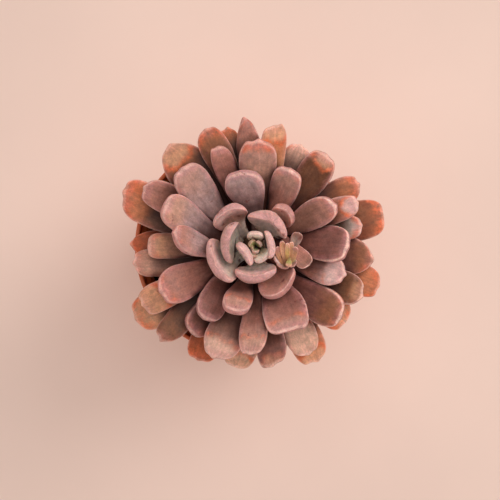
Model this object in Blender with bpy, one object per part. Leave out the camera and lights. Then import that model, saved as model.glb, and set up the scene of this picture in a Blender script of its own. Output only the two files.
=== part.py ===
"""A rosette succulent growing in a round plastic pot.

Every leaf, the stem, the soil and the pot is a solid of its own. Sizes are in millimetres and become
metres where a mesh is made. The origin is the centre of the pot's underside, with +Z up.
"""

import math
from collections import namedtuple

import bmesh
import bpy
from mathutils import Matrix, Vector, noise
from mathutils.bvhtree import BVHTree

MM = 0.001
GAP = 0.3  # between solids that rest on each other

# Pot
POT_HEIGHT = 95.0
RIM_RADIUS = 52.5
RIM_BAND = 12.0
RIM_WALL = 2.0
LEDGE = 2.7
WALL = 1.3
BASE_RADIUS = 36.5
FLOOR = 1.8
POT_SIDES = 48
DRAIN_COUNT = 6
DRAIN_RADIUS = 3.5
DRAIN_CIRCLE = 25.0

# Soil
SOIL_DROP = 17.0  # from the rim down to the soil at the wall
SOIL_DOME = 4.0
SOIL_LUMP = 1.2

# Stem: the rosette stands a little off the pot's axis
STEM_X = 6.0
STEM_TOP = 31.0  # above the rim
STEM_ROOT = -42.0  # below the rim
STEM_RADIUS_LOW = 7.5
STEM_RADIUS_HIGH = 3.0
STEM_SIDES = 20

# Leaf mesh
RING_AT = (0.0, 0.15, 0.33, 0.52, 0.69, 0.83, 0.925, 0.98)
RING_POINTS = 10
SHOULDER = 0.77  # where along its length a leaf is widest
TAPER = 2.2  # how fast it narrows from there to the stem
ROUNDING = 0.85
UPPER_SHARE = 0.42  # of the thickness above the centreline
HANDLE = 0.36  # of the chord, for the centreline's two handles
TIP_VEER = 1.6  # how much of a sideways bend is near the tip
ROOT_SLACK = 1.2

# How a leaf is moved while it is stacked on the leaves below it
STEP_UP = 0.5
NEAR_STEM = 0.4
ROLLS = (0, -12, 12, -24, 24)  # degrees about its own length
LEANS = (0, -5, 5)  # degrees sideways at the stem
ROLL_COST = 0.03  # millimetres of height worth giving up for a degree
LEAN_COST = 0.05
EASY = 1.5

Leaf = namedtuple(
    "Leaf",
    "name azimuth reach rise width thickness foot heading curl end slant roll neck root",
)

# What the leaves of a tier share: foot is above the rim, curl in degrees, and neck is the share of the
# width and thickness left at the stem
Tier = namedtuple("Tier", "thickness foot curl neck")
TIERS = {
    "base_leaf": Tier(6.5, -2.0, -4, 0.28),
    "lower_leaf": Tier(7.0, 1.0, 0, 0.26),
    "middle_leaf": Tier(7.5, 6.0, 6, 0.26),
    "upper_leaf": Tier(7.5, 11.0, 10, 0.24),
    "inner_leaf": Tier(5.5, 17.0, 18, 0.30),
    "heart_leaf": Tier(4.0, 24.0, 8, 0.45),
}


def leaf(
    tier,
    number,
    azimuth,
    reach,
    rise,
    width,
    heading=None,
    foot=None,
    curl=None,
    thickness=None,
    end=2.6,
    slant=0,
    roll=0,
    root=None,
):
    """One leaf. azimuth and reach place its tip round the stem, and rise is the tip's height above the rim.
    heading is the azimuth at which it leaves the stem, and foot the height. curl bends it upwards, end sets
    how square its end is, and slant and roll turn the end sideways and about the leaf's own length. root is
    the radius it starts from, when that isn't the stem's."""
    usual = TIERS[tier]
    return Leaf(
        f"{tier}_{number:02d}",
        azimuth,
        reach,
        rise,
        width,
        usual.thickness if thickness is None else thickness,
        usual.foot if foot is None else foot,
        azimuth if heading is None else heading,
        usual.curl if curl is None else curl,
        end,
        slant,
        roll,
        usual.neck,
        root,
    )


# From the lowest and outermost leaf to the innermost, as they grew
LEAVES = (
    leaf("base_leaf", 1, 179, 60, 3, 14, end=2.0),
    leaf("base_leaf", 2, 211, 67, 3, 18.5, end=3.4),
    leaf("base_leaf", 3, 243, 61, 3, 16, heading=239, end=3.4),
    leaf("base_leaf", 4, 260.5, 58.5, 2, 17, heading=265, end=3.0),
    leaf("base_leaf", 5, 298, 62, 3, 16.5, heading=296, end=3.0),
    leaf("base_leaf", 6, 320, 56.5, 5, 18, heading=322),
    leaf("base_leaf", 7, 342, 62, 3, 15.5, heading=345, end=3.2),
    leaf("base_leaf", 8, 13.5, 63.5, 3, 19, heading=12, end=3.6),
    leaf("base_leaf", 9, 104, 58.5, 4, 12, heading=101),
    leaf("lower_leaf", 1, 158.5, 67, 12, 20, heading=161, end=3.4, slant=-10),
    leaf("lower_leaf", 2, 130.5, 63, 11, 22, heading=131.5, end=1.9),
    leaf("lower_leaf", 3, 113, 60.5, 8, 14),
    leaf("lower_leaf", 4, 95, 61.5, 11, 12.5, heading=93, end=1.5),
    leaf("lower_leaf", 5, 81, 57.5, 11, 13, heading=81, end=3.6, slant=-14),
    leaf("lower_leaf", 6, 65.5, 53, 9, 13.5, heading=63, end=3.6),
    leaf("lower_leaf", 7, 31, 57, 8, 14.5, heading=34, end=2.8),
    leaf("lower_leaf", 8, 354, 56.5, 12, 17.5, heading=356, end=1.8),
    leaf("lower_leaf", 9, 336, 55, 11, 16.5, heading=334),
    leaf("lower_leaf", 10, 296.5, 56, 10, 16, heading=298, end=3.0),
    leaf("lower_leaf", 11, 279, 56, 10, 15, heading=281, end=4.0, slant=-12),
    leaf("lower_leaf", 12, 224, 63, 8, 13, heading=223),
    leaf("lower_leaf", 13, 187.5, 58, 12, 13.5, heading=197, end=3.0),
    leaf("lower_leaf", 14, 207.5, 59, 14, 15, end=3.6),
    leaf("middle_leaf", 1, 152.5, 59, 19, 15, heading=150),
    leaf("middle_leaf", 2, 180, 50.5, 20, 12.5, heading=179, end=4.0),
    leaf("middle_leaf", 3, 233, 51, 16, 14.5, heading=231),
    leaf("middle_leaf", 4, 250, 54, 16, 18.5, heading=252, end=2.8),
    leaf("middle_leaf", 5, 267.5, 48.5, 20, 13, end=3.0),
    leaf("middle_leaf", 6, 321, 52, 18, 18, heading=315),
    leaf("middle_leaf", 7, 10.5, 51, 13, 12, heading=17, end=3.0),
    leaf("middle_leaf", 8, 23, 51, 17, 12),
    leaf("middle_leaf", 9, 52, 54.5, 16, 16, heading=49, end=3.0),
    leaf("middle_leaf", 10, 111, 50, 22, 11, heading=113),
    leaf("middle_leaf", 11, 89, 49, 22, 17, heading=90, end=3.0),
    leaf("middle_leaf", 12, 343, 42, 22, 14.5, heading=335),
    leaf("upper_leaf", 1, 133, 49.5, 31, 17, heading=143, end=3.0),
    leaf("upper_leaf", 2, 154.5, 46.5, 30, 16, heading=163),
    leaf("upper_leaf", 3, 171, 38, 32, 12, heading=186, end=2.2),
    leaf("upper_leaf", 4, 206, 49, 28, 17, heading=205, end=2.8),
    leaf("upper_leaf", 5, 235.5, 41, 28, 14, heading=219),
    leaf("upper_leaf", 6, 293, 41, 28, 20.5, heading=294, end=4.4),
    leaf("upper_leaf", 7, 0.5, 43, 30, 17.5),
    leaf("upper_leaf", 8, 28, 41, 28, 14, heading=31),
    leaf("upper_leaf", 9, 66, 39, 30, 14.5, heading=62, end=4.0),
    leaf("upper_leaf", 10, 103.5, 35, 34, 17.5, heading=88),
    leaf("upper_leaf", 11, 252, 29, 37, 14, heading=255, curl=30),
    leaf("inner_leaf", 1, 128, 22, 38, 15, roll=-15, end=3.4),
    leaf("inner_leaf", 2, 303, 24.5, 36, 17),
    leaf("inner_leaf", 3, 50, 21.5, 36, 11, end=3.4),
    leaf("inner_leaf", 4, 203, 21, 38, 19, roll=8, end=3.8),
    leaf("inner_leaf", 5, 271, 14, 40, 16.5, end=3.8),
    leaf("inner_leaf", 6, 60, 13.5, 41, 18, end=3.8),
    leaf("inner_leaf", 7, 168, 13, 42, 17.5, end=3.8),
    leaf("heart_leaf", 1, 213, 4.4, 43, 11.5, thickness=4.5, end=3.6),
    leaf("heart_leaf", 2, 8, 6.6, 43, 12, end=3.6),
)


def mix(low, high, share):
    return low + (high - low) * share


def smooth(share):
    share = min(1.0, max(0.0, share))
    return share * share * (3 - 2 * share)


def polar(radius, degrees, height=0.0):
    angle = math.radians(degrees)
    return Vector((radius * math.cos(angle), radius * math.sin(angle), height))


def stem_radius(height):
    """The stem's radius at a height above the rim."""
    return mix(STEM_RADIUS_LOW, STEM_RADIUS_HIGH, smooth((height - 6.0) / (STEM_TOP - 6.0)))


# ---------------------------------------------------------------- leaves


def leaf_line(spec):
    """The leaf's Bezier control points, with x along its heading from the stem's axis."""
    root_radius = stem_radius(spec.foot) if spec.root is None else spec.root
    turn = math.radians(spec.azimuth - spec.heading)
    tip = Vector((spec.reach * math.cos(turn), spec.reach * math.sin(turn), spec.rise - spec.foot))
    start = Vector((root_radius, 0, 0))
    chord = tip - start
    climb = math.atan2(chord.z, math.hypot(chord.x, chord.y))
    veer = math.atan2(chord.y, chord.x)
    curl = math.radians(spec.curl)
    first_climb = climb - curl
    half_root = spec.thickness * spec.neck / 2
    start.x += GAP + half_root * abs(math.sin(first_climb)) * ROOT_SLACK
    handle = chord.length * HANDLE

    def aim(climb_angle, side_angle):
        level = math.cos(climb_angle)
        return Vector(
            (level * math.cos(side_angle), level * math.sin(side_angle), math.sin(climb_angle))
        )

    return (
        start,
        start + aim(first_climb, 0) * handle,
        tip - aim(climb + curl, veer * TIP_VEER) * handle,
        tip,
    )


def bezier(points, at):
    a, b, c, d = points
    back = 1 - at
    place = a * back**3 + b * 3 * back**2 * at + c * 3 * back * at**2 + d * at**3
    along = (b - a) * back**2 + (c - b) * 2 * back * at + (d - c) * at**2
    return place, along.normalized()


def width_share(at, neck, end):
    """Half-width along a leaf, as a share of the widest: a wedge that ends in a rounded square."""
    if at <= SHOULDER:
        return mix(neck, 1.0, math.sin(math.pi / 2 * at / SHOULDER) ** TAPER)
    past = (at - SHOULDER) / (1 - SHOULDER)
    return (1 - past**end) ** (1 / end)


def thickness_share(at, neck):
    """Thickness along a leaf, as a share of the thickest."""
    if at <= 0.6:
        return mix(neck + 0.05, 1.0, math.sin(math.pi / 2 * at / 0.6))
    past = (at - 0.6) / 0.4
    return (1 - past**2.8) ** (1 / 2.2)


def leaf_shape(spec, swell=0.0):
    """Vertices and faces of a leaf, with x along its heading from the stem's axis and z from its foot."""
    line = leaf_line(spec)
    points = []
    for at in RING_AT:
        centre, along = bezier(line, at)
        side = Vector((0, 1, 0)) - along * along.y
        side.normalize()
        up = along.cross(side)
        turned = Matrix.Rotation(math.radians(spec.roll) * smooth(at), 3, along)
        side, up = turned @ side, turned @ up
        half_width = spec.width / 2 * width_share(at, spec.neck, spec.end) + swell
        thick = spec.thickness * thickness_share(at, spec.neck) + 2 * swell
        lean = math.tan(math.radians(spec.slant)) * smooth((at - 0.4) / 0.6)
        for k in range(RING_POINTS):
            angle = 2 * math.pi * k / RING_POINTS
            across = math.copysign(abs(math.cos(angle)) ** ROUNDING, math.cos(angle)) * half_width
            share = UPPER_SHARE if math.sin(angle) > 0 else 1 - UPPER_SHARE
            rise_here = math.copysign(abs(math.sin(angle)) ** ROUNDING, math.sin(angle)) * thick * share
            points.append(centre + side * across + up * rise_here + along * lean * across)
    tip, along = bezier(line, 1.0)
    points.append(tip + along * swell)
    rings = len(RING_AT)
    faces = []
    for ring in range(rings - 1):
        for k in range(RING_POINTS):
            after = (k + 1) % RING_POINTS
            low = ring * RING_POINTS
            high = low + RING_POINTS
            faces.append((low + k, low + after, high + after, high + k))
    last = (rings - 1) * RING_POINTS
    for k in range(RING_POINTS):
        faces.append((last + k, last + (k + 1) % RING_POINTS, len(points) - 1))
    faces.append(tuple(reversed(range(RING_POINTS))))
    return points, faces


def in_rosette(points, spec):
    """Leaf points turned to its heading and lifted to its foot, in the rosette's frame."""
    turn = Matrix.Rotation(math.radians(spec.heading), 3, "Z")
    lift = Vector((0, 0, spec.foot))
    return [turn @ point + lift for point in points]


def tree_of(points, faces):
    return BVHTree.FromPolygons(points, faces)


class Stack:
    """Everything a new leaf has to clear, as one surface in the rosette's frame."""

    def __init__(self):
        self.points = []
        self.faces = []
        self.tree = None

    def add(self, points, faces):
        first = len(self.points)
        self.points.extend(points)
        self.faces.extend(tuple(first + corner for corner in face) for face in faces)
        self.tree = tree_of(self.points, self.faces)

    def touches(self, spec):
        """Where along the leaf it would touch the stack: a share of its length for each contact."""
        points, faces = leaf_shape(spec, swell=GAP / 2)
        hits = tree_of(in_rosette(points, spec), faces).overlap(self.tree)
        rings = (min(hit // RING_POINTS, len(RING_AT) - 1) for hit, _ in hits)
        return [RING_AT[ring] for ring in rings]


def climb(spec, stack, most):
    """Raise a leaf's foot or tip, wherever it touches, until it is clear. None when it stays stuck."""
    raised = 0.0
    while raised <= most:
        touches = stack.touches(spec)
        if not touches:
            return spec
        near = min(touches) < NEAR_STEM
        far = max(touches) >= NEAR_STEM
        spec = spec._replace(
            foot=spec.foot + STEP_UP * near,
            rise=spec.rise + STEP_UP * 2 * far,
        )
        raised += STEP_UP * (near + far)
    return None


def sink(spec, planned, stack):
    """Let a clear leaf down towards its planned place as far as it goes."""
    for part, step in (("rise", 1.0), ("foot", 0.5), ("rise", 0.5)):
        while getattr(spec, part) > getattr(planned, part):
            lower = spec._replace(**{part: getattr(spec, part) - step})
            if stack.touches(lower):
                break
            spec = lower
    return spec


def settle(spec, stack):
    """The lowest clear place for a leaf, with a little roll or sideways lean where that lets it down."""
    best, best_cost = None, 1e9
    for roll in ROLLS:
        for lean in LEANS:
            start = spec._replace(roll=spec.roll + roll, heading=spec.heading + lean)
            effort = abs(roll) * ROLL_COST + abs(lean) * LEAN_COST
            placed = climb(start, stack, best_cost - effort)
            if placed is None:
                continue
            placed = sink(placed, spec, stack)
            cost = (placed.rise - spec.rise) / 2 + placed.foot - spec.foot + effort
            if cost < best_cost:
                best, best_cost = placed, cost
        if best_cost < EASY:
            break
    return best


# ---------------------------------------------------------------- shared builders


def material(name, colour, roughness):
    made = bpy.data.materials.new(name)
    made.use_nodes = True
    shader = made.node_tree.nodes["Principled BSDF"]
    shader.inputs["Base Color"].default_value = (*colour, 1.0)
    shader.inputs["Roughness"].default_value = roughness
    made.diffuse_color = (*colour, 1.0)
    return made


def add_object(name, points, faces, finish, parent=None, smooth_angle=40):
    """A mesh object from points in millimetres."""
    mesh = bpy.data.meshes.new(name)
    mesh.from_pydata([point * MM for point in points], [], faces)
    work = bmesh.new()
    work.from_mesh(mesh)
    bmesh.ops.recalc_face_normals(work, faces=work.faces)
    work.to_mesh(mesh)
    work.free()
    mesh.shade_smooth()
    mesh.set_sharp_from_angle(angle=math.radians(smooth_angle))
    mesh.materials.append(finish)
    made = bpy.data.objects.new(name, mesh)
    bpy.context.scene.collection.objects.link(made)
    made.parent = parent
    return made


def turned(profile, sides, closed=False):
    """Points and faces of a profile of (radius, height) turned about Z. A radius of 0 is a pole."""
    points, faces, rows = [], [], []
    for radius, height in profile:
        if radius == 0:
            rows.append([len(points)])
            points.append(Vector((0, 0, height)))
            continue
        rows.append(range(len(points), len(points) + sides))
        points.extend(polar(radius, 360 * k / sides, height) for k in range(sides))
    pairs = list(zip(rows, rows[1:]))
    if closed:
        pairs.append((rows[-1], rows[0]))
    for low, high in pairs:
        for k in range(sides):
            corners = [
                low[k % len(low)],
                low[(k + 1) % len(low)],
                high[(k + 1) % len(high)],
                high[k % len(high)],
            ]
            faces.append(tuple(dict.fromkeys(corners)))
    return points, faces


def cylinder(radius, low, high, sides):
    return turned([(0, low), (radius, low), (radius, high), (0, high)], sides)


def boolean(target, tool, operation, name):
    """A Boolean modifier on target. The tool stays in the file as a hidden helper."""
    tool.hide_render = True
    tool.display_type = "WIRE"
    cut = target.modifiers.new(name, "BOOLEAN")
    cut.operation = operation
    cut.object = tool
    cut.use_self = operation == "UNION"


# ---------------------------------------------------------------- pot, soil, stem


def pot_profile():
    """From the centre of the underside, up the outside, over the rim and down the inside."""
    band_low = POT_HEIGHT - RIM_BAND
    inner_rim = RIM_RADIUS - RIM_WALL
    inner_top = inner_rim - LEDGE
    return [
        (0, 0),
        (BASE_RADIUS - 1.0, 0),
        (BASE_RADIUS, 1.0),
        (inner_top + WALL, band_low - 1.0),
        (RIM_RADIUS - 0.9, band_low),
        (RIM_RADIUS - 0.4, band_low + 0.5),
        (RIM_RADIUS, POT_HEIGHT - 0.7),
        (RIM_RADIUS - 0.7, POT_HEIGHT),
        (inner_rim + 0.7, POT_HEIGHT),
        (inner_rim, POT_HEIGHT - 0.7),
        (inner_rim - 0.2, band_low + 2.5),
        (inner_top, band_low + 1.0),
        (BASE_RADIUS - WALL, FLOOR + 1.0),
        (BASE_RADIUS - WALL - 1.0, FLOOR),
        (0, FLOOR),
    ]


def inner_wall_radius(height):
    """The inside radius of the pot's tapered wall at a height from its underside."""
    top = POT_HEIGHT - RIM_BAND + 1.0
    share = (height - FLOOR - 1.0) / (top - FLOOR - 1.0)
    return mix(BASE_RADIUS - WALL, RIM_RADIUS - RIM_WALL - LEDGE, share)


def make_pot():
    finish = material("terracotta_plastic", (0.45, 0.13, 0.05), 0.5)
    pot = add_object("pot", *turned(pot_profile(), POT_SIDES), finish)
    for number in range(DRAIN_COUNT):
        hole = add_object(f"drain_cutter_{number}", *cylinder(DRAIN_RADIUS, -2, FLOOR + 2, 16), finish)
        hole.location = polar(DRAIN_CIRCLE, 360 * (number + 0.06) / DRAIN_COUNT) * MM
        boolean(pot, hole, "DIFFERENCE", f"drain_{number}")
    return pot


def soil_profile():
    top = POT_HEIGHT - SOIL_DROP
    bottom = FLOOR + GAP
    return [
        (0, bottom),
        (inner_wall_radius(bottom + 2) - 2.0, bottom),
        (inner_wall_radius(bottom + 3) - GAP, bottom + 3),
        (inner_wall_radius(top) - GAP, top),
        (40.0, top + SOIL_DOME * 0.25),
        (30.0, top + SOIL_DOME * 0.6),
        (20.0, top + SOIL_DOME * 0.9),
        (0, top + SOIL_DOME),
    ]


def make_soil():
    finish = material("potting_soil", (0.03, 0.018, 0.012), 0.95)
    points, faces = turned(soil_profile(), 32)
    for point in points:
        if point.z > POT_HEIGHT - SOIL_DROP + 0.1:
            point.z += SOIL_LUMP * noise.noise(point * 0.12)
    soil = add_object("soil", points, faces, finish)
    top = POT_HEIGHT - SOIL_DROP + SOIL_DOME
    pit = add_object(
        "stem_pit_cutter",
        *cylinder(STEM_RADIUS_LOW + GAP, POT_HEIGHT + STEM_ROOT - GAP, top + 10, STEM_SIDES),
        finish,
    )
    pit.location.x = STEM_X * MM
    boolean(soil, pit, "DIFFERENCE", "stem_pit")
    return soil


def stem_profile():
    heights = [STEM_ROOT + 1.0, 0.0, 6.0, 12.0, 18.0, 24.0, STEM_TOP - 1.0]
    rows = [(stem_radius(height), height) for height in heights]
    root, top = (STEM_RADIUS_LOW - 1.0, STEM_ROOT), (STEM_RADIUS_HIGH - 1.0, STEM_TOP)
    return [(0, STEM_ROOT), root, *rows, top, (0, STEM_TOP)]


def make_stem(rosette):
    finish = material("stem", (0.22, 0.13, 0.07), 0.8)
    return add_object("stem", *turned(stem_profile(), STEM_SIDES), finish, rosette)


# ---------------------------------------------------------------- small clusters

# The bud at the heart, from the top of the stem
BUD_CORE = ((0, 0), (1.8, 0), (1.7, 3.0), (1.1, 5.0), (0, 6.0))
BUD_LEAVES = (
    leaf("heart_leaf", 11, 96, 4.8, 10.5, 5.0, foot=2, root=0.6, thickness=2.6),
    leaf("heart_leaf", 12, 300, 6.2, 7.5, 6.5, foot=2, root=0.6, thickness=2.6),
    leaf("heart_leaf", 13, 150, 2.0, 9.0, 3.0, foot=3, root=0.4, thickness=2.0),
    leaf("heart_leaf", 14, 50, 1.8, 8.5, 2.8, foot=3, root=0.4, thickness=2.0),
    leaf("heart_leaf", 15, 275, 2.2, 8.5, 3.0, foot=3, root=0.4, thickness=2.0),
)

# The side shoot stands on a stalk beside the stem
SHOOT_AZIMUTH = 347
SHOOT_OUT = 15.0
SHOOT_FOOT = 24.0
SHOOT_HEIGHT = 32.0
SHOOT_CORE = ((0, -2.0), (2.0, -1.0), (2.4, 1.5), (1.4, 4.5), (0, 5.5))
SHOOT_LEAVES = (
    leaf("heart_leaf", 21, 352, 9.5, 3.5, 11.5, foot=0, root=0.6, thickness=3.0, curl=24, end=3.0),
    leaf("heart_leaf", 22, 66, 11.0, 2.5, 5.0, foot=0, root=0.6, thickness=2.4, curl=10),
    leaf("heart_leaf", 23, 250, 6.5, 2.5, 6.0, foot=0, root=0.6, thickness=2.6, curl=14),
    leaf("heart_leaf", 24, 195, 5.0, 4.5, 6.0, foot=1, root=0.6, thickness=2.4, curl=12),
    leaf("heart_leaf", 25, 112, 5.5, 5.5, 4.5, foot=1, root=0.5, thickness=2.2, curl=10),
    leaf("heart_leaf", 26, 50, 5.0, 6.5, 4.5, foot=2, root=0.5, thickness=2.2, curl=8),
    leaf("heart_leaf", 27, 285, 3.5, 6.5, 4.0, foot=2, root=0.5, thickness=2.2, curl=8),
)


def shoot_pieces():
    """The stalk, core and leaves of the side shoot, with its centre as the origin."""
    centre = polar(SHOOT_OUT, SHOOT_AZIMUTH, SHOOT_HEIGHT)
    stalk = leaf(
        "heart_leaf", 20, SHOOT_AZIMUTH, SHOOT_OUT, SHOOT_HEIGHT, 4.4, foot=SHOOT_FOOT, end=2, curl=0
    )
    points, faces = leaf_shape(stalk)
    pieces = [([point - centre for point in in_rosette(points, stalk)], faces)]
    pieces.append(turned(SHOOT_CORE, 12))
    for spec in SHOOT_LEAVES:
        points, faces = leaf_shape(spec)
        pieces.append((in_rosette(points, spec), faces))
    return pieces


def bud_pieces():
    pieces = [turned(BUD_CORE, 12)]
    for spec in BUD_LEAVES:
        points, faces = leaf_shape(spec)
        pieces.append((in_rosette(points, spec), faces))
    return pieces


def lift_clear(pieces, place, stack):
    """The first height at which a cluster's pieces clear the stack."""
    place = place.copy()
    while any(tree_of([p + place for p in points], faces).overlap(stack.tree) for points, faces in pieces):
        place.z += STEP_UP
    place.z += GAP
    for points, faces in pieces:
        stack.add([point + place for point in points], faces)
    return place


def make_cluster(name, pieces, place, finish, parent):
    """Small leaves and what carries them, united as one solid."""
    body = add_object(name, *pieces[0], finish, parent)
    body.location = place * MM
    for number, (points, faces) in enumerate(pieces[1:]):
        part = add_object(f"{name}_helper_{number}", points, faces, finish, parent)
        part.location = place * MM
        boolean(body, part, "UNION", f"piece_{number}")
    return body


# ---------------------------------------------------------------- the plant

LEAF_COLOURS = {
    "base_leaf": (0.42, 0.15, 0.06),
    "lower_leaf": (0.36, 0.20, 0.12),
    "middle_leaf": (0.38, 0.22, 0.17),
    "upper_leaf": (0.44, 0.24, 0.22),
    "inner_leaf": (0.50, 0.33, 0.32),
    "heart_leaf": (0.45, 0.38, 0.30),
}


def make_leaves(tiers, rosette, stack):
    """Settle and make the leaves of some tiers, in the order they're listed."""
    for tier in tiers:
        finish = material(tier, LEAF_COLOURS[tier], 0.55)
        for planned in LEAVES:
            if not planned.name.startswith(tier):
                continue
            spec = settle(planned, stack)
            points, faces = leaf_shape(spec)
            stack.add(in_rosette(points, spec), faces)
            root = Vector((stem_radius(spec.foot), 0, 0))
            made = add_object(spec.name, [point - root for point in points], faces, finish, rosette)
            made.location = polar(root.x, spec.heading, spec.foot) * MM
            made.rotation_euler.z = math.radians(spec.heading)


def main():
    for old in list(bpy.data.objects):
        bpy.data.objects.remove(old)
    rosette = bpy.data.objects.new("rosette", None)
    rosette.location = Vector((STEM_X, 0, POT_HEIGHT)) * MM
    bpy.context.scene.collection.objects.link(rosette)

    make_pot()
    make_soil()
    make_stem(rosette)

    stack = Stack()
    rim_points, rim_faces = turned(pot_profile(), POT_SIDES)
    stack.add([point - Vector((STEM_X, 0, POT_HEIGHT)) for point in rim_points], rim_faces)
    stack.add(*turned(stem_profile(), STEM_SIDES))
    make_leaves(("base_leaf", "lower_leaf", "middle_leaf", "upper_leaf"), rosette, stack)

    shoot = shoot_pieces()
    beside = lift_clear(shoot, polar(SHOOT_OUT, SHOOT_AZIMUTH, SHOOT_HEIGHT), stack)
    make_cluster("side_rosette", shoot, beside, material("side_rosette", (0.5, 0.3, 0.18), 0.6), rosette)

    make_leaves(("inner_leaf", "heart_leaf"), rosette, stack)

    bud = bud_pieces()
    above = lift_clear(bud, Vector((0, 0, STEM_TOP + GAP)), stack)
    make_cluster("heart_bud", bud, above, material("heart_bud", (0.42, 0.4, 0.28), 0.6), rosette)


main()
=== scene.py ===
"""Looks for a potted rosette succulent: leaves, heart, side rosette, stem, soil, pot and a plain stage.

Laid out as an add-on and run as a script. Each operator makes one piece, or one group of like pieces, round
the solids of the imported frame. Lengths are in metres unless a name says otherwise.
"""

import math
import random
from collections import namedtuple
from types import SimpleNamespace

import bmesh
import bpy
import numpy as np
from mathutils import Color, Matrix, Vector, noise
from mathutils.bvhtree import BVHTree


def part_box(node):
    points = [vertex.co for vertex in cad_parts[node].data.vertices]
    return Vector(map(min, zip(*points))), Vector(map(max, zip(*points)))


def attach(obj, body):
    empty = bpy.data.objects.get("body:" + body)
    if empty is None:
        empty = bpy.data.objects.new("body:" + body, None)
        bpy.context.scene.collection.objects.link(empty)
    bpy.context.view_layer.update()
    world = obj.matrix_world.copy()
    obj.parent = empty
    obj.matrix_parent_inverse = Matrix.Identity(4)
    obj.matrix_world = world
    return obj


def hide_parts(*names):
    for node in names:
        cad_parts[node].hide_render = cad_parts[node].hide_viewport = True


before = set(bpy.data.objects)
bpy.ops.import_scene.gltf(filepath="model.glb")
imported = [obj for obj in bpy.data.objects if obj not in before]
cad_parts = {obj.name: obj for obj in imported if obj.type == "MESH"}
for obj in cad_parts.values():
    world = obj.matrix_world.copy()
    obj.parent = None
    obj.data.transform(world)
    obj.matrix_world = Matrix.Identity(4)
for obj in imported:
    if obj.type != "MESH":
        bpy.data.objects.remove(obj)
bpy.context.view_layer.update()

bl_info = {
    "name": "Potted Succulent",
    "version": (1, 0, 0),
    "blender": (4, 5, 0),
    "location": "View3D > Sidebar > Succulent",
    "description": "Builds the leaves, pot and soil of a rosette succulent round its solids",
    "category": "Object",
}

BODY = "root"
MM = 0.001
POT_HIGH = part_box("pot")[1]
STEM_LOW, STEM_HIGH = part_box("stem")
SOIL_LOW, SOIL_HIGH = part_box("soil")
RIM = POT_HIGH.z
RIM_RADIUS = POT_HIGH.x
STEM_AXIS = Vector(((STEM_LOW.x + STEM_HIGH.x) / 2, (STEM_LOW.y + STEM_HIGH.y) / 2, 0))


# ---------------------------------------------------------------- colours

# Named shades, as a colour picker shows them
SHADES = {
    "bark": "653c2a",
    "umber": "6f492e",
    "rust": "884223",
    "brown": "7c4f33",
    "plum": "7a463f",
    "dusk": "77594a",
    "olive": "895a3d",
    "mauve": "88564c",
    "copper": "986243",
    "ember": "b26039",
    "taupe": "966b5b",
    "clay": "b37451",
    "rosewood": "aa7364",
    "straw": "a88b60",
    "apricot": "c78059",
    "rose": "b57f70",
    "putty": "ab8d71",
    "tan": "c48f6b",
    "ash": "aa9084",
    "blush": "bc9081",
    "shell": "c59783",
    "lilac": "b59895",
    "sand": "d5a382",
    "cream": "e1b8a4",
    "petal": "deb9b2",
    "sage": "a9977f",
    "moss": "6f7346",
    "fern": "a09c62",
    "honey": "c4a066",
    "frost": "dccfc0",
    "mist": "cdb9ae",
}

# foot, face, end: shades along the leaf. rim, crest: how pale its margin is, partly its own colour and
# partly a painted highlight, and how orange the edge where it turns over. facet: the paler shade of the face
# that turns over its end, partly its own colour and partly painted light that this face catches, or None.
# bevel: the facet's length as a share of the leaf's
Look = namedtuple("Look", "foot face end rim crest facet bevel", defaults=(None, 0.12))

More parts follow.
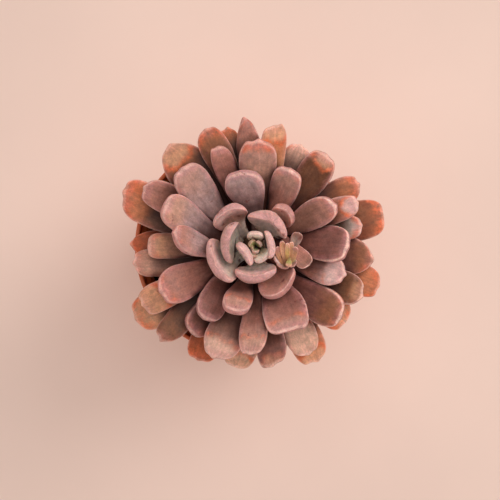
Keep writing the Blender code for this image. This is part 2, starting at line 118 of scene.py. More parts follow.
LOOKS_BY_TIER = {
    "base_leaf": (
        Look("rust", "rust", "ember", 0.4, 0.7),
        Look("apricot", "apricot", "sand", 0.4, 0.6),
        Look("rust", "ember", "ember", 0.4, 0.7),
        Look("copper", "apricot", "cream", 0.5, 0.8, "sand"),
        Look("clay", "ember", "apricot", 0.4, 0.9, "sand"),
        Look("apricot", "apricot", "sand", 0.5, 0.6),
        Look("rust", "ember", "apricot", 0.4, 0.6),
        Look("umber", "rust", "copper", 0.4, 0.9),
        Look("tan", "putty", "clay", 0.3, 0.6),
    ),
    "lower_leaf": (
        Look("brown", "dusk", "apricot", 0.5, 0.9),
        Look("brown", "brown", "copper", 0.5, 0.9, "sand", 0.16),
        Look("umber", "brown", "copper", 0.4, 0.8),
        Look("copper", "taupe", "rose", 0.4, 0.3),
        Look("rust", "tan", "apricot", 0.5, 0.9, "sand", 0.14),
        Look("tan", "shell", "cream", 0.5, 0.3),
        Look("copper", "taupe", "clay", 0.4, 0.8),
        Look("plum", "mauve", "copper", 0.6, 0.4),
        Look("umber", "umber", "olive", 0.8, 0.2, "tan", 0.1),
        Look("bark", "rust", "sand", 0.6, 1.0, "cream", 0.3),
        Look("umber", "umber", "mauve", 0.5, 0.3, "tan", 0.08),
        Look("copper", "brown", "olive", 0.4, 0.2),
        Look("tan", "shell", "shell", 0.5, 0.3),
        Look("clay", "sand", "apricot", 0.4, 1.0, "sand", 0.2),
    ),
    "middle_leaf": (
        Look("olive", "taupe", "rose", 0.5, 0.2),
        Look("shell", "shell", "sand", 0.4, 0.4),
        Look("umber", "umber", "mauve", 0.5, 0.3),
        Look("taupe", "taupe", "blush", 0.5, 0.5, "cream", 0.16),
        Look("mauve", "rosewood", "blush", 0.6, 0.5, "shell", 0.14),
        Look("mauve", "mauve", "copper", 0.9, 0.4),
        Look("clay", "putty", "mist", 0.5, 0.7),
        Look("olive", "clay", "rose", 0.6, 0.9, "petal"),
        Look("brown", "brown", "brown", 0.6, 1.0, "tan", 0.1),
        Look("plum", "mauve", "rosewood", 0.4, 0.2),
        Look("rosewood", "shell", "blush", 0.6, 0.9),
        Look("mauve", "rosewood", "petal", 0.7, 0.4, "petal", 0.2),
    ),
    "upper_leaf": (
        Look("rose", "lilac", "blush", 0.6, 0.1),
        Look("mauve", "lilac", "shell", 0.6, 0.2),
        Look("rose", "lilac", "rose", 0.6, 0.3),
        Look("plum", "rose", "rosewood", 0.5, 0.6),
        Look("taupe", "mauve", "mauve", 0.6, 0.1),
        Look("plum", "mauve", "rosewood", 0.8, 0.5, "blush", 0.12),
        Look("plum", "mauve", "mauve", 1.0, 0.2),
        Look("mauve", "taupe", "rose", 0.8, 0.3),
        Look("rosewood", "rose", "blush", 0.8, 0.3),
        Look("lilac", "lilac", "lilac", 0.6, 0.1),
        Look("taupe", "rosewood", "rosewood", 0.6, 0.5, "blush", 0.2),
    ),
    "inner_leaf": (
        Look("mist", "blush", "petal", 0.5, 0.2),
        Look("mauve", "rosewood", "rose", 0.6, 0.2),
        Look("mist", "rose", "blush", 0.5, 0.4),
        Look("frost", "frost", "petal", 0.5, 0.2),
        Look("frost", "mist", "petal", 0.7, 0.3),
        Look("frost", "mist", "petal", 0.4, 0.3),
        Look("frost", "frost", "petal", 0.4, 0.2),
    ),
    "heart_leaf": (
        Look("frost", "frost", "petal", 0.6, 0.1),
        Look("frost", "frost", "petal", 0.6, 0.2),
    ),
}
LOOKS = {
    f"{tier}_{number:02d}": look
    for tier, looks in LOOKS_BY_TIER.items()
    for number, look in enumerate(looks, start=1)
}

# How each tier looks, with lengths in millimetres. bloom: strength of its powdery coat. depth: how far light
# spreads in it. scars: how many healed marks it has. under: shade of its underside. cup: how far its margins
# rise, as a share of its half-width. blunt: the least squareness of its ends. open: how sheltered it may be
# before painted shade darkens its colour. points: how much of the small tip and corner its ends have. flush:
# how
# pink its margins are. dents: depth of its unevenness. broad: its width as a share of its solid's
Tier = namedtuple("Tier", "title bloom depth scars under cup blunt open points flush dents broad")
TIERS = {
    "base_leaf": Tier("Base Leaves", 0.03, 3.0, 0.5, "clay", 0.04, 1.3, 0.35, 1.0, 0.1, 0.8, 1.0),
    "lower_leaf": Tier("Lower Leaves", 0.06, 2.5, 0.6, "clay", 0.05, 1.3, 0.3, 1.2, 0.25, 0.8, 1.0),
    "middle_leaf": Tier("Middle Leaves", 0.12, 2.0, 0.7, "taupe", 0.06, 1.3, 0.3, 1.2, 0.4, 0.7, 1.0),
    "upper_leaf": Tier("Upper Leaves", 0.18, 2.0, 1.0, "rose", 0.06, 1.3, 0.42, 0.9, 0.55, 0.7, 1.02),
    "inner_leaf": Tier("Inner Leaves", 0.20, 1.5, 2.0, "rose", 0.34, 2.8, 0.9, 0.6, 0.5, 1.4, 1.12),
    "heart_leaf": Tier("Heart Leaves", 0.14, 1.5, 1.2, "petal", 0.20, 2.8, 0.9, 0.3, 0.3, 1.0, 1.08),
}


# ---------------------------------------------------------------- node helpers


class Nodes:
    """A short way to write a material's node tree."""

    def __init__(self, name):
        self.material = bpy.data.materials.new(name)
        self.material.use_nodes = True
        self.tree = self.material.node_tree
        self.shader = self.tree.nodes["Principled BSDF"]

    def set(self, socket, value):
        if isinstance(value, bpy.types.NodeSocket):
            self.tree.links.new(value, socket)
        else:
            socket.default_value = value

    def add(self, kind, inputs=(), **settings):
        node = self.tree.nodes.new(kind)
        for key, value in settings.items():
            setattr(node, key, value)
        for key, value in dict(inputs).items():
            self.set(node.inputs[key], value)
        return node

    def attribute(self, name, output="Fac"):
        return self.add("ShaderNodeAttribute", attribute_name=name).outputs[output]

    def place(self):
        return self.add("ShaderNodeTexCoord").outputs["Object"]

    def noise(self, scale, detail=2.0, rough=0.5, vector=None):
        inputs = {"Scale": scale, "Detail": detail, "Roughness": rough, "Vector": vector or self.place()}
        return self.add("ShaderNodeTexNoise", inputs).outputs["Fac"]

    def span(self, value, low, high, to_low=0.0, to_high=1.0, smooth=True):
        """value from low..high to to_low..to_high, clamped."""
        inputs = {0: value, 1: low, 2: high, 3: to_low, 4: to_high}
        kind = "SMOOTHSTEP" if smooth else "LINEAR"
        return self.add("ShaderNodeMapRange", inputs, interpolation_type=kind).outputs[0]

    def math(self, operation, first, second):
        return self.add("ShaderNodeMath", {0: first, 1: second}, operation=operation).outputs[0]

    def mix(self, share, first, second, blend="MIX"):
        node = self.add("ShaderNodeMix", data_type="RGBA", blend_type=blend)
        for socket, value in ((node.inputs[0], share), (node.inputs[6], first), (node.inputs[7], second)):
            self.set(socket, value)
        return node.outputs[2]

    def times(self, first, *others):
        for other in others:
            first = self.math("MULTIPLY", first, other)
        return first

    def shaded(self, colour, share):
        """The colour with each channel multiplied by share."""
        grey = self.add("ShaderNodeCombineColor", {0: share, 1: share, 2: share}).outputs[0]
        return self.mix(1.0, colour, grey, "MULTIPLY")

    def bumps(self, *layers):
        """Bumps on bumps, each from its (height, strength, distance)."""
        normal = None
        for height, strength, distance in layers:
            inputs = {"Height": height, "Strength": strength, "Distance": distance}
            node = self.add("ShaderNodeBump", inputs)
            if normal:
                self.set(node.inputs["Normal"], normal)
            normal = node.outputs["Normal"]
        return normal

    def finish(self, inputs):
        """Sets the shader's inputs and gives the material."""
        for name, value in inputs.items():
            self.set(self.shader.inputs[name], value)
        return self.material


def opaque(colour, strength=1.0):
    """The colour times strength, with an alpha of 1. No channel goes past 1."""
    return (*(min(1.0, channel * strength) for channel in colour), 1.0)


def rgba(shade):
    """A named shade in linear light, with an alpha of 1."""
    code = SHADES[shade]
    shown = Color(int(code[k : k + 2], 16) / 255 for k in (0, 2, 4))
    return opaque(shown.from_srgb_to_scene_linear())


# ---------------------------------------------------------------- mesh helpers


def add_piece(name, points, faces, finish, replaced):
    """A smooth mesh that rides on the body and stands for the nodes named in replaced."""
    mesh = bpy.data.meshes.new(name)
    mesh.from_pydata([tuple(point) for point in points], [], faces)
    mesh.validate()
    mesh.shade_smooth()
    mesh.materials.append(finish)
    piece = bpy.data.objects.new(name, mesh)
    bpy.context.scene.collection.objects.link(piece)
    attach(piece, BODY)
    if replaced:
        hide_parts(*replaced)
    return piece


def turned(profile, sides):
    """Points and faces of a profile of (radius, height) turned about Z. A radius of 0 is a pole."""
    points, faces, rows = [], [], []
    for radius, height in profile:
        count = sides if radius else 1
        rows.append(range(len(points), len(points) + count))
        for k in range(count):
            angle = 2 * math.pi * k / sides
            points.append(Vector((radius * math.cos(angle), radius * math.sin(angle), height)))
    for low, high in zip(rows, rows[1:]):
        for k in range(sides):
            corners = [
                low[k % len(low)],
                low[(k + 1) % sides % len(low)],
                high[(k + 1) % sides % len(high)],
                high[k % len(high)],
            ]
            faces.append(tuple(dict.fromkeys(corners)))
    return points, faces


def smoothstep(low, high, value):
    share = np.clip((value - low) / (high - low), 0, 1)
    return share * share * (3 - 2 * share)


# ---------------------------------------------------------------- reading a leaf's solid

# Where along the leaf its solid's rings and tip are, and which of those rings end_power compares
RING_AT = np.array((0.0, 0.15, 0.33, 0.52, 0.69, 0.83, 0.925, 0.98, 1.0))
RING_POINTS = 10
SHOULDER_RING, LAST_RING = 5, 7
SHOULDER = 0.77  # where along its length a leaf is widest
WELDING_GAP = 1e-6  # points closer than this are one

# A leaf's shape. line: its centreline's four Bezier points. sides, ups: unit vectors to its left and up, at
# RING_AT. widths, tops, bottoms: its half-widths, and its heights above and below the line, at its rings.
# end: how square it ends
Shape = namedtuple("Shape", "line sides ups widths tops bottoms end")


def welded(node):
    """The node's distinct points, and each point's neighbours."""
    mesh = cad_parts[node].data
    found, points, names = {}, [], []
    for vertex in mesh.vertices:
        key = tuple(round(c / WELDING_GAP) for c in vertex.co)
        if key not in found:
            found[key] = len(points)
            points.append(np.array(vertex.co))
        names.append(found[key])
    near = [set() for _ in points]
    for edge in mesh.edges:
        a, b = (names[v] for v in edge.vertices)
        if a != b:
            near[a].add(b)
            near[b].add(a)
    return points, near


def layers_from(tip, near):
    """Points by their number of edges from the tip."""
    seen, layer, layers = {tip}, [tip], []
    while layer:
        layers.append(layer)
        layer = sorted({n for p in layer for n in near[p]} - seen)
        seen.update(layer)
    return layers


def read_rings(node):
    """A leaf solid's rings from the stem outwards, and its tip."""
    points, near = welded(node)
    for tip in range(len(points)):
        if len(near[tip]) != RING_POINTS:
            continue
        layers = layers_from(tip, near)
        if len(layers) == len(RING_AT) and all(len(layer) == RING_POINTS for layer in layers[1:]):
            rings = [np.array([points[p] for p in layer]) for layer in reversed(layers[1:])]
            return rings, points[tip]
    raise RuntimeError(f"{node} isn't a leaf of {len(RING_AT) - 1} rings")


def read_shape(node):
    """The shape of a leaf's solid."""
    rings, tip = read_rings(node)
    middles = [ring.mean(0) for ring in rings] + [tip]
    heading = middles[-1] - middles[0]
    left = np.cross((0, 0, 1), heading)
    centres, sides, ups, widths, tops, bottoms = [], [], [], [], [], []
    for index, ring in enumerate(rings):
        along = middles[index + 1] - middles[max(index - 1, 0)]
        along /= np.linalg.norm(along)
        gaps = np.linalg.norm(ring[:, None] - ring[None], axis=2)
        a, b = np.unravel_index(gaps.argmax(), gaps.shape)
        if (ring[a] - ring[b]) @ left < 0:
            a, b = b, a
        centre, side = (ring[a] + ring[b]) / 2, (ring[a] - ring[b]) / 2
        up = np.cross(along, side)
        up /= np.linalg.norm(up)
        heights = (ring - centre) @ up
        centres.append(centre)
        sides.append(side / np.linalg.norm(side))
        ups.append(up)
        widths.append(np.linalg.norm(side))
        tops.append(heights.max())
        bottoms.append(-heights.min())
    centres.append(tip)
    at = RING_AT[:, None]
    basis = np.hstack([(1 - at) ** 3, 3 * (1 - at) ** 2 * at, 3 * (1 - at) * at**2, at**3])
    line = np.linalg.lstsq(basis, np.array(centres), rcond=None)[0]
    return Shape(
        line,
        np.array(sides + [sides[-1]]),
        np.array(ups + [ups[-1]]),
        np.array(widths),
        np.array(tops),
        np.array(bottoms),
        end_power(widths[LAST_RING] / widths[SHOULDER_RING]),
    )


def closing(at, start, power, root):
    """1 up to start, and from there a rounded fall to 0 at 1."""
    past = np.clip((at - start) / (1 - start), 0, 1)
    return (1 - past**power) ** (1 / root)


END_POWERS = (1.1, 8.0)  # from the most pointed end to the squarest
HALVINGS = 30


def end_power(share):
    """How square a leaf's end is, from how much narrower its last ring is than the one at its shoulder."""
    low, high = END_POWERS
    for _ in range(HALVINGS):
        middle = (low + high) / 2
        shoulder, last = closing(RING_AT[[SHOULDER_RING, LAST_RING]], SHOULDER, middle, middle)
        if last < share * shoulder:
            low = middle
        else:
            high = middle
    return low


# ---------------------------------------------------------------- leaves

# A leaf's skin is a grid of stations along it by angles around it
STATIONS = 46
AROUND = 44
CROWDING = 2.6  # how much closer the stations stand towards the tip

# How square a leaf is in section: powers of the cosine across it, and of the sine above and below its line
ACROSS_POWER, TOP_POWER, BOTTOM_POWER = 0.64, 0.52, 0.75
# Where its top and its underside start to close, and the powers of their fall to the tip
TOP_CLOSING, BOTTOM_CLOSING = (0.80, 3.0, 2.2), (0.72, 2.8, 2.2)
FACET_DROP = 0.6  # how far a turned-over end sinks, as a share of the leaf's height
CREASES = 2
# How wide the flush is where an end turns over at a facet, and where it has none, as shares of the leaf
FACET_FLUSH, END_FLUSH = 0.03, 0.07


def spread(values, at):
    """Smooth interpolation of values given at RING_AT."""
    known = RING_AT[: len(values)]
    slopes = np.gradient(values, known, axis=0)
    index = np.clip(np.searchsorted(known, at, side="right") - 1, 0, len(known) - 2)
    low, high = known[index], known[index + 1]
    gap = high - low
    t = (at - low) / gap
    shape = (-1,) + (1,) * (values.ndim - 1)
    t, gap = t.reshape(shape), gap.reshape(shape)
    return (
        values[index] * (2 * t**3 - 3 * t**2 + 1)
        + values[index + 1] * (3 * t**2 - 2 * t**3)
        + slopes[index] * gap * (t**3 - 2 * t**2 + t)
        + slopes[index + 1] * gap * (t**3 - t**2)
    )


def half_widths(shape, at):
    """Half the leaf's width along it, smoothed up to its shoulder and rounded off after it."""
    ring = SHOULDER_RING
    widest = shape.widths[ring] / closing(RING_AT[ring], SHOULDER, shape.end, shape.end)
    known = np.array([*RING_AT[:ring], SHOULDER])
    inner = np.interp(np.minimum(at, SHOULDER), known, np.array([*shape.widths[:ring], widest]))
    soft = np.convolve(np.pad(inner, 3, mode="edge"), np.ones(7) / 7, mode="valid")
    inner = np.where(at < SHOULDER - 0.05, soft, inner)
    return inner * closing(at, SHOULDER, shape.end, shape.end)


def end_shape(rng, at, beside):
    """How far the end stands out, in millimetres: a small point at its middle, and one corner."""
    point = rng.uniform(0.2, 1.2) * smoothstep(0.90, 1.0, at)[:, None]
    point = point * np.exp(-(((beside - rng.uniform(-0.15, 0.15)) / 0.2) ** 2))
    corner = rng.uniform(0.2, 1.0) * smoothstep(0.82, 0.95, at)[:, None]
    corner = corner * np.exp(-(((beside - rng.choice((-0.6, 0.6))) / 0.22) ** 2))
    return point + corner


def leaf_facts(look, seed, at, across, lift):
    """What a leaf's material needs at each station and angle."""
    is_top = lift >= 0
    # The end turns over along an uneven line, bowed towards the tip at its sides
    uneven = 0.018 * np.sin(3.1 * across + seed) + 0.010 * np.sin(8.3 * across + 2.7 * seed)
    if look.facet:
        past = at[:, None] - (1 - look.bevel + 0.05 * across**2 + uneven)[None]
        crest = np.exp(-((past / FACET_FLUSH) ** 2))
    else:
        past = at[:, None] + (0.05 * across**4 + uneven)[None] - 0.985
        crest = np.exp(-((past / END_FLUSH) ** 2))
    return {
        "along": np.repeat(at[:, None], AROUND, 1),
        "across": np.repeat(across[None], STATIONS, 0),
        "upper": np.repeat((0.5 + 0.5 * lift)[None], STATIONS, 0),
        "edge": 1 - (1 - across[None] ** 6) * (1 - smoothstep(0.95, 1.0, at))[:, None],
        "crest": crest * (np.where(is_top, 1.0, 0.2) * (0.4 + 0.6 * np.abs(across)))[None],
        # The facet's paler shade, partly painted light, shows fully on top and half as much below
        "facet": smoothstep(-0.015, 0.05, past) * np.where(is_top, 1.0, 0.5)[None],
    }


def leaf_grid(shape, look, tier, seed):
    """Points of a leaf's skin by station and angle, its tip, and what its material needs at each point."""
    rng = random.Random(seed)
    at = 1 - (1 - np.arange(STATIONS) / STATIONS) ** CROWDING
    back = 1 - at
    a, b, c, d = shape.line
    weights = (back**3, 3 * back**2 * at, 3 * back * at**2, at**3)
    centre = sum(w[:, None] * p for w, p in zip(weights, (a, b, c, d)))
    side, up = spread(shape.sides, at), spread(shape.ups, at)
    side /= np.linalg.norm(side, axis=1)[:, None]
    up /= np.linalg.norm(up, axis=1)[:, None]
    width = half_widths(shape, at)

    highest, lowest = shape.tops.max(), shape.bottoms.max()
    crest_at = 1 - look.bevel
    swell = spread(shape.tops / highest, np.minimum(at, RING_AT[3]))
    swell = swell / swell.max()
    top = highest * swell * closing(at, *TOP_CLOSING)
    bottom = lowest * swell * closing(at, *BOTTOM_CLOSING)
    if look.facet:
        turn = np.clip((at - crest_at) / (1 - crest_at), 0, 1)
        top = highest * swell * (1 - FACET_DROP * turn**1.2) * (1 - turn**7) ** (1 / 2.5)
        centre = centre - up * (turn**1.3 * FACET_DROP * highest)[:, None]

    angle = 2 * math.pi * np.arange(AROUND) / AROUND
    across = np.sign(np.cos(angle)) * np.abs(np.cos(angle)) ** ACROSS_POWER
    lift = np.sin(angle)
    is_top = lift >= 0
    rise = np.where(
        is_top[None],
        top[:, None] * np.abs(lift[None]) ** TOP_POWER,
        -bottom[:, None] * np.abs(lift[None]) ** BOTTOM_POWER,
    )
    # A hollow along its face, raised margins and a few shallow creases
    inside = smoothstep(0.3, 0.6, at)
    dip = inside * (1 - smoothstep(crest_at - 0.2, crest_at, at))
    hollow = rng.uniform(0.02, 0.12) * top.max()
    rise -= np.where(is_top[None], dip[:, None] * hollow * (1 - across[None] ** 2) ** 2, 0)
    rise += (tier.cup * inside * width)[:, None] * (across[None] ** 2 - 0.3)
    for _ in range(CREASES):
        crease = np.exp(-(((across - rng.uniform(-0.6, 0.6)) / 0.15) ** 2)) * rng.uniform(-0.3, 0.35) * MM
        rise += np.where(is_top[None], dip[:, None] * crease[None], 0)
    waver = 1 + rng.uniform(-0.03, 0.03) * np.sin(at * 7 + seed)
    points = (
        centre[:, None]
        + side[:, None] * ((width * waver)[:, None] * across[None])[..., None]
        + up[:, None] * rise[..., None]
    )
    outward = (d - c) / np.linalg.norm(d - c)
    beside = width[:, None] * across[None] / width.max()
    points += outward * (tier.points * end_shape(rng, at, beside) * MM)[..., None]
    return points, points[-1].mean(0), leaf_facts(look, seed, at, across, lift)


# The spans of a leaf's wide and fine dents, and how deep the fine ones are beside the wide ones
WIDE_DENTS, FINE_DENTS = 14 * MM, 4.5 * MM
FINE_SHARE = 0.2
DENT_STEPS = (0.37, 0.11, 0.73)  # how far the dents shift from one seed to the next
DENT_SEED = 1795151255  # noise_vector takes its pattern from the clock unless it is given a seed


def roughen(points, seed, wide, fine):
    """Small dents and swellings, the same for a point wherever it stands in the list."""
    noise.seed_set(DENT_SEED)
    shift = Vector([seed * step for step in DENT_STEPS])
    moved = []
    for point in points:
        place = Vector(point)
        push = noise.noise_vector(place / WIDE_DENTS + shift) * wide
        push += noise.noise_vector(place / FINE_DENTS - shift) * fine
        moved.append(place + push)
    return moved


# A leaf's skin. numbers and shades: what its material reads at each point, by name
Skin = namedtuple("Skin", "points faces numbers shades")
FACET_STRENGTH = 0.7  # how much of a facet's paler shade shows, partly its own colour and partly painted light on the turned-over face
# The facts at a leaf's tip and at the middle of its foot
END_FACTS = {
    "along": (1, 0),
    "across": (0, 0),
    "upper": (0.5, 0.5),
    "edge": (1, 0),
    "crest": (0.3, 0),
    "facet": (1, 0),
}


def leaf_skin(shape, look, tier, seed, wide, fine):
    """A leaf's closed surface. wide and fine are the depths of its dents in millimetres."""
    shape = shape._replace(end=max(shape.end, tier.blunt), widths=shape.widths * tier.broad)
    grid, tip, facts = leaf_grid(shape, look, tier, seed)
    points = roughen([*grid.reshape(-1, 3), tip], seed, wide * MM, fine * MM)
    points.append(sum(points[:AROUND], Vector()) / AROUND)
    count = len(points)
    faces = []
    for row in range(0, (STATIONS - 1) * AROUND, AROUND):
        for k in range(AROUND):
            after = (k + 1) % AROUND
            faces.append((row + k, row + after, row + AROUND + after, row + AROUND + k))
    last = (STATIONS - 1) * AROUND
    for k in range(AROUND):
        after = (k + 1) % AROUND
        faces.append((last + k, last + after, count - 2))
        faces.append((after, k, count - 1))
    numbers = {name: [*facts[name].reshape(-1), *pair] for name, pair in END_FACTS.items()}
    numbers["rim_amount"] = [look.rim] * count
    numbers["crest_amount"] = [look.crest] * count
    numbers["facet_amount"] = [FACET_STRENGTH if look.facet else 0.0] * count
    shades = {"foot": look.foot, "face": look.face, "end": look.end, "turn": look.facet or look.end}
    return Skin(points, faces, numbers, {name: [rgba(shade)] * count for name, shade in shades.items()})


def add_leaves(name, skins, finish, replaced):
    """One piece from the skins of one or more leaves."""
    points, faces = [], []
    for skin in skins:
        faces.extend(tuple(len(points) + corner for corner in face) for face in skin.faces)
        points.extend(skin.points)
    piece = add_piece(name, points, faces, finish, replaced)
    for key in skins[0].numbers:
        layer = piece.data.attributes.new(key, "FLOAT", "POINT")
        numbers = np.concatenate([skin.numbers[key] for skin in skins]).astype(np.float32)
        layer.data.foreach_set("value", numbers)
    for key in skins[0].shades:
        layer = piece.data.attributes.new(key, "FLOAT_COLOR", "POINT")
        shades = np.concatenate([skin.shades[key] for skin in skins]).astype(np.float32)
        layer.data.foreach_set("color", shades.ravel())


# Each noise's scale, detail and roughness
WIDE_NOISE, MIDDLE_NOISE, FINE_NOISE = (90.0, 3.0, 0.6), (320.0, 4.0, 0.65), (1500.0, 4.0, 0.7)
STREAK_NOISE, SCAR_GROUPS = (1.0, 4.0, 0.6), (130.0, 3.0, 0.6)
STREAK_STRETCH = (5.0, 1.2, 6.0)  # across the leaf, along it, and how much the streaks wander
RICHNESS = 1.14  # the gamma that deepens a leaf where it is dark
DEEPEST_SHELTER = 0.94  # how sheltered a spot is where the painted shade is darkest
# The least and the greatest strength of a colour by the middle noise, the streaks and the fine noise
MOTTLING = ((0.82, 1.26), (0.88, 1.21), (0.90, 1.18))
SCAR_SCALE, SCAR_JITTER, SCAR_STRENGTH = 210.0, 0.003, 0.75
LEAF_FACTS = (*END_FACTS, "rim_amount", "crest_amount", "facet_amount", "shelter")


def leaf_fields(nodes):
    """What the parts of a leaf's finish read: its facts, and noises of several sizes."""
    leaf = SimpleNamespace(**{name: nodes.attribute(name) for name in LEAF_FACTS})
    leaf.wide = nodes.noise(*WIDE_NOISE)
    leaf.middle = nodes.noise(*MIDDLE_NOISE)
    leaf.fine = nodes.noise(*FINE_NOISE)
    sheet = nodes.add("ShaderNodeCombineXYZ", {0: leaf.across, 1: leaf.along, 2: leaf.wide}).outputs[0]
    sheet = nodes.add("ShaderNodeMapping", {"Vector": sheet, "Scale": STREAK_STRETCH}).outputs[0]
    leaf.streak = nodes.noise(*STREAK_NOISE, sheet)
    return leaf


def leaf_shades(nodes, leaf, tier, settings):
    """Shades from foot to end with uneven bounds, then the flush, and the facet's paler shade where the end
    turns over, partly its own colour and partly painted light.
    """
    foot, face, end, turn = (nodes.attribute(name, "Color") for name in ("foot", "face", "end", "turn"))
    reach = nodes.math("ADD", leaf.along, nodes.span(leaf.wide, 0.25, 0.75, -0.14, 0.14, smooth=False))
    colour = nodes.mix(nodes.span(reach, 0.15, 0.55), foot, face)
    colour = nodes.mix(nodes.span(reach, 0.62, 0.95), colour, end)
    under = nodes.span(leaf.upper, 0.15, 0.45, 1.0, 0.0)
    colour = nodes.mix(nodes.times(under, 0.4), colour, rgba(tier.under))
    crest = nodes.times(leaf.crest, leaf.crest_amount, nodes.span(leaf.middle, 0.15, 0.6))
    colour = nodes.mix(nodes.span(crest, 0.0, 0.6, 0.0, 0.95), colour, opaque(settings.crest_colour))
    # The facet's paler shade is partly its own colour and partly painted light that the turned-over face
    # catches
    return nodes.mix(nodes.times(leaf.facet, leaf.facet_amount), colour, turn)


def with_margins(nodes, leaf, tier, settings, colour):
    """A pink flush towards the margins, and the pale margins themselves, partly their own colour and partly
    a painted highlight along the top edges.
    """
    border = nodes.math("MAXIMUM", nodes.times(leaf.across, leaf.across), nodes.span(leaf.along, 0.86, 1.0))
    border = nodes.math("ADD", border, nodes.span(leaf.middle, 0.25, 0.75, -0.15, 0.15, smooth=False))
    border = nodes.times(nodes.span(border, 0.35, 1.0, 0.0, tier.flush), nodes.span(leaf.along, 0.25, 0.6))
    colour = nodes.mix(border, colour, opaque(settings.flush_colour))
    # Pale margins, partly their own colour and partly a painted highlight: only the top face of each margin
    # gets them
    rim = nodes.times(
        nodes.span(leaf.edge, 0.45, 1.0),
        nodes.span(leaf.along, 0.3, 0.7),
        nodes.span(leaf.upper, 0.45, 0.6),
        leaf.rim_amount,
        nodes.span(leaf.middle, 0.2, 0.6, 0.4, 1.0),
    )
    return nodes.mix(rim, colour, opaque(settings.rim_and_highlight_colour))


def with_mottling_and_painted_shade(nodes, leaf, tier, settings, colour):
    """Mottling, lengthwise streaks and powder, and painted shade that darkens the colour in the folds."""
    for field, (least, most) in zip((leaf.middle, leaf.streak, leaf.fine), MOTTLING):
        colour = nodes.shaded(colour, nodes.span(field, 0.3, 0.7, least, most, smooth=False))
    powder = nodes.times(
        nodes.span(leaf.wide, 0.3, 0.7, 0.4, 1.0),
        tier.bloom * settings.bloom,
        nodes.span(leaf.fine, 0.25, 0.6, 0.4, 1.0),
        nodes.span(leaf.along, 0.3, 0.8),
    )
    colour = nodes.mix(powder, colour, opaque(settings.bloom_colour))
    colour = nodes.add("ShaderNodeGamma", {0: colour, 1: RICHNESS}).outputs[0]
    # Painted shade: the colour moves towards the painted shade colour where nearby leaves shelter a spot
    # from the light
    shelter = nodes.times(nodes.span(leaf.shelter, tier.open, DEEPEST_SHELTER), settings.shelter)
    return nodes.mix(shelter, colour, opaque(settings.painted_shade_colour))


def scar_marks(nodes, tier):
    """Where the small healed marks are, in clusters."""
    jitter = nodes.add("ShaderNodeTexNoise", {"Scale": 700.0, "Vector": nodes.place()}).outputs["Color"]
    inputs = {0: SCAR_JITTER, 4: nodes.place(), 5: jitter}
    blur = nodes.add("ShaderNodeMix", inputs, data_type="VECTOR").outputs[1]
    cells = nodes.add("ShaderNodeTexVoronoi", {"Scale": SCAR_SCALE, "Vector": blur, "Randomness": 1.0})
    scar = nodes.span(cells.outputs["Distance"], 0.12, 0.32, 1.0, 0.0)
    more = 0.12 * tier.scars
    return nodes.times(scar, nodes.span(nodes.noise(*SCAR_GROUPS), 0.70 - more, 0.76 - more), SCAR_STRENGTH)


def leaf_finish(tier_name, settings):
    """The skin of one tier of leaves. Each leaf's own shades come with its mesh."""
    tier = TIERS[tier_name]
    nodes = Nodes(tier_name)
    leaf = leaf_fields(nodes)
    colour = leaf_shades(nodes, leaf, tier, settings)
    colour = with_margins(nodes, leaf, tier, settings, colour)
    colour = with_mottling_and_painted_shade(nodes, leaf, tier, settings, colour)
    scar = scar_marks(nodes, tier)
    normal = nodes.bumps(
        (leaf.wide, 0.35, 0.8 * MM),
        (leaf.streak, 0.30, 0.25 * MM),
        (leaf.middle, 0.35, 0.25 * MM),
        (scar, 0.5, -0.15 * MM),
        (leaf.fine, 0.16, 0.06 * MM),
    )
    return nodes.finish({
        "Base Color": nodes.mix(scar, colour, opaque(settings.scar_colour)),
        "Roughness": nodes.span(leaf.middle, 0.2, 0.8, 0.38, 0.54),
        "Specular IOR Level": 0.32,
        "Subsurface Weight": 0.25,
        "Subsurface Radius": (1.0, 0.30, 0.14),
        "Subsurface Scale": tier.depth * MM,
        "Sheen Weight": 0.06,
        "Sheen Roughness": 0.5,
        "Normal": normal,
    })


# ---------------------------------------------------------------- small clusters

# A small leaf, in degrees and millimetres. It points to its azimuth, and runs from root out and foot up to
# reach out and rise up. curl: how far it bends to each side of its climb. end: how square it ends. side: how
# far it stands to its own left
Small = namedtuple(
    "Small", "azimuth reach rise width thickness foot root curl end look side", defaults=(0.0,)
)

BUD = (
    Small(92, 6.2, 10.5, 7.0, 3.0, 2, 0.8, 10, 3.0, Look("moss", "sage", "frost", 0.8, 0.1)),
    Small(305, 6.8, 10.0, 8.0, 3.2, 2, 0.8, 10, 3.0, Look("moss", "sage", "frost", 0.5, 0.1)),
    Small(250, 4.6, 8.5, 5.5, 2.4, 2, 0.8, 8, 3.0, Look("moss", "sage", "sage", 0.5, 0.1)),
    Small(140, 2.8, 9.5, 3.8, 2.0, 3, 0.5, 8, 2.6, Look("moss", "fern", "fern", 0.5, 0.0)),
    Small(40, 2.4, 9.0, 3.4, 2.0, 3, 0.5, 8, 2.6, Look("moss", "fern", "sage", 0.5, 0.0)),
    Small(270, 2.4, 9.0, 3.4, 2.0, 3, 0.5, 8, 2.6, Look("moss", "moss", "sage", 0.8, 0.1)),
    Small(200, 1.6, 7.5, 2.6, 1.6, 3, 0.4, 8, 2.6, Look("moss", "fern", "fern", 0.4, 0.0)),
)

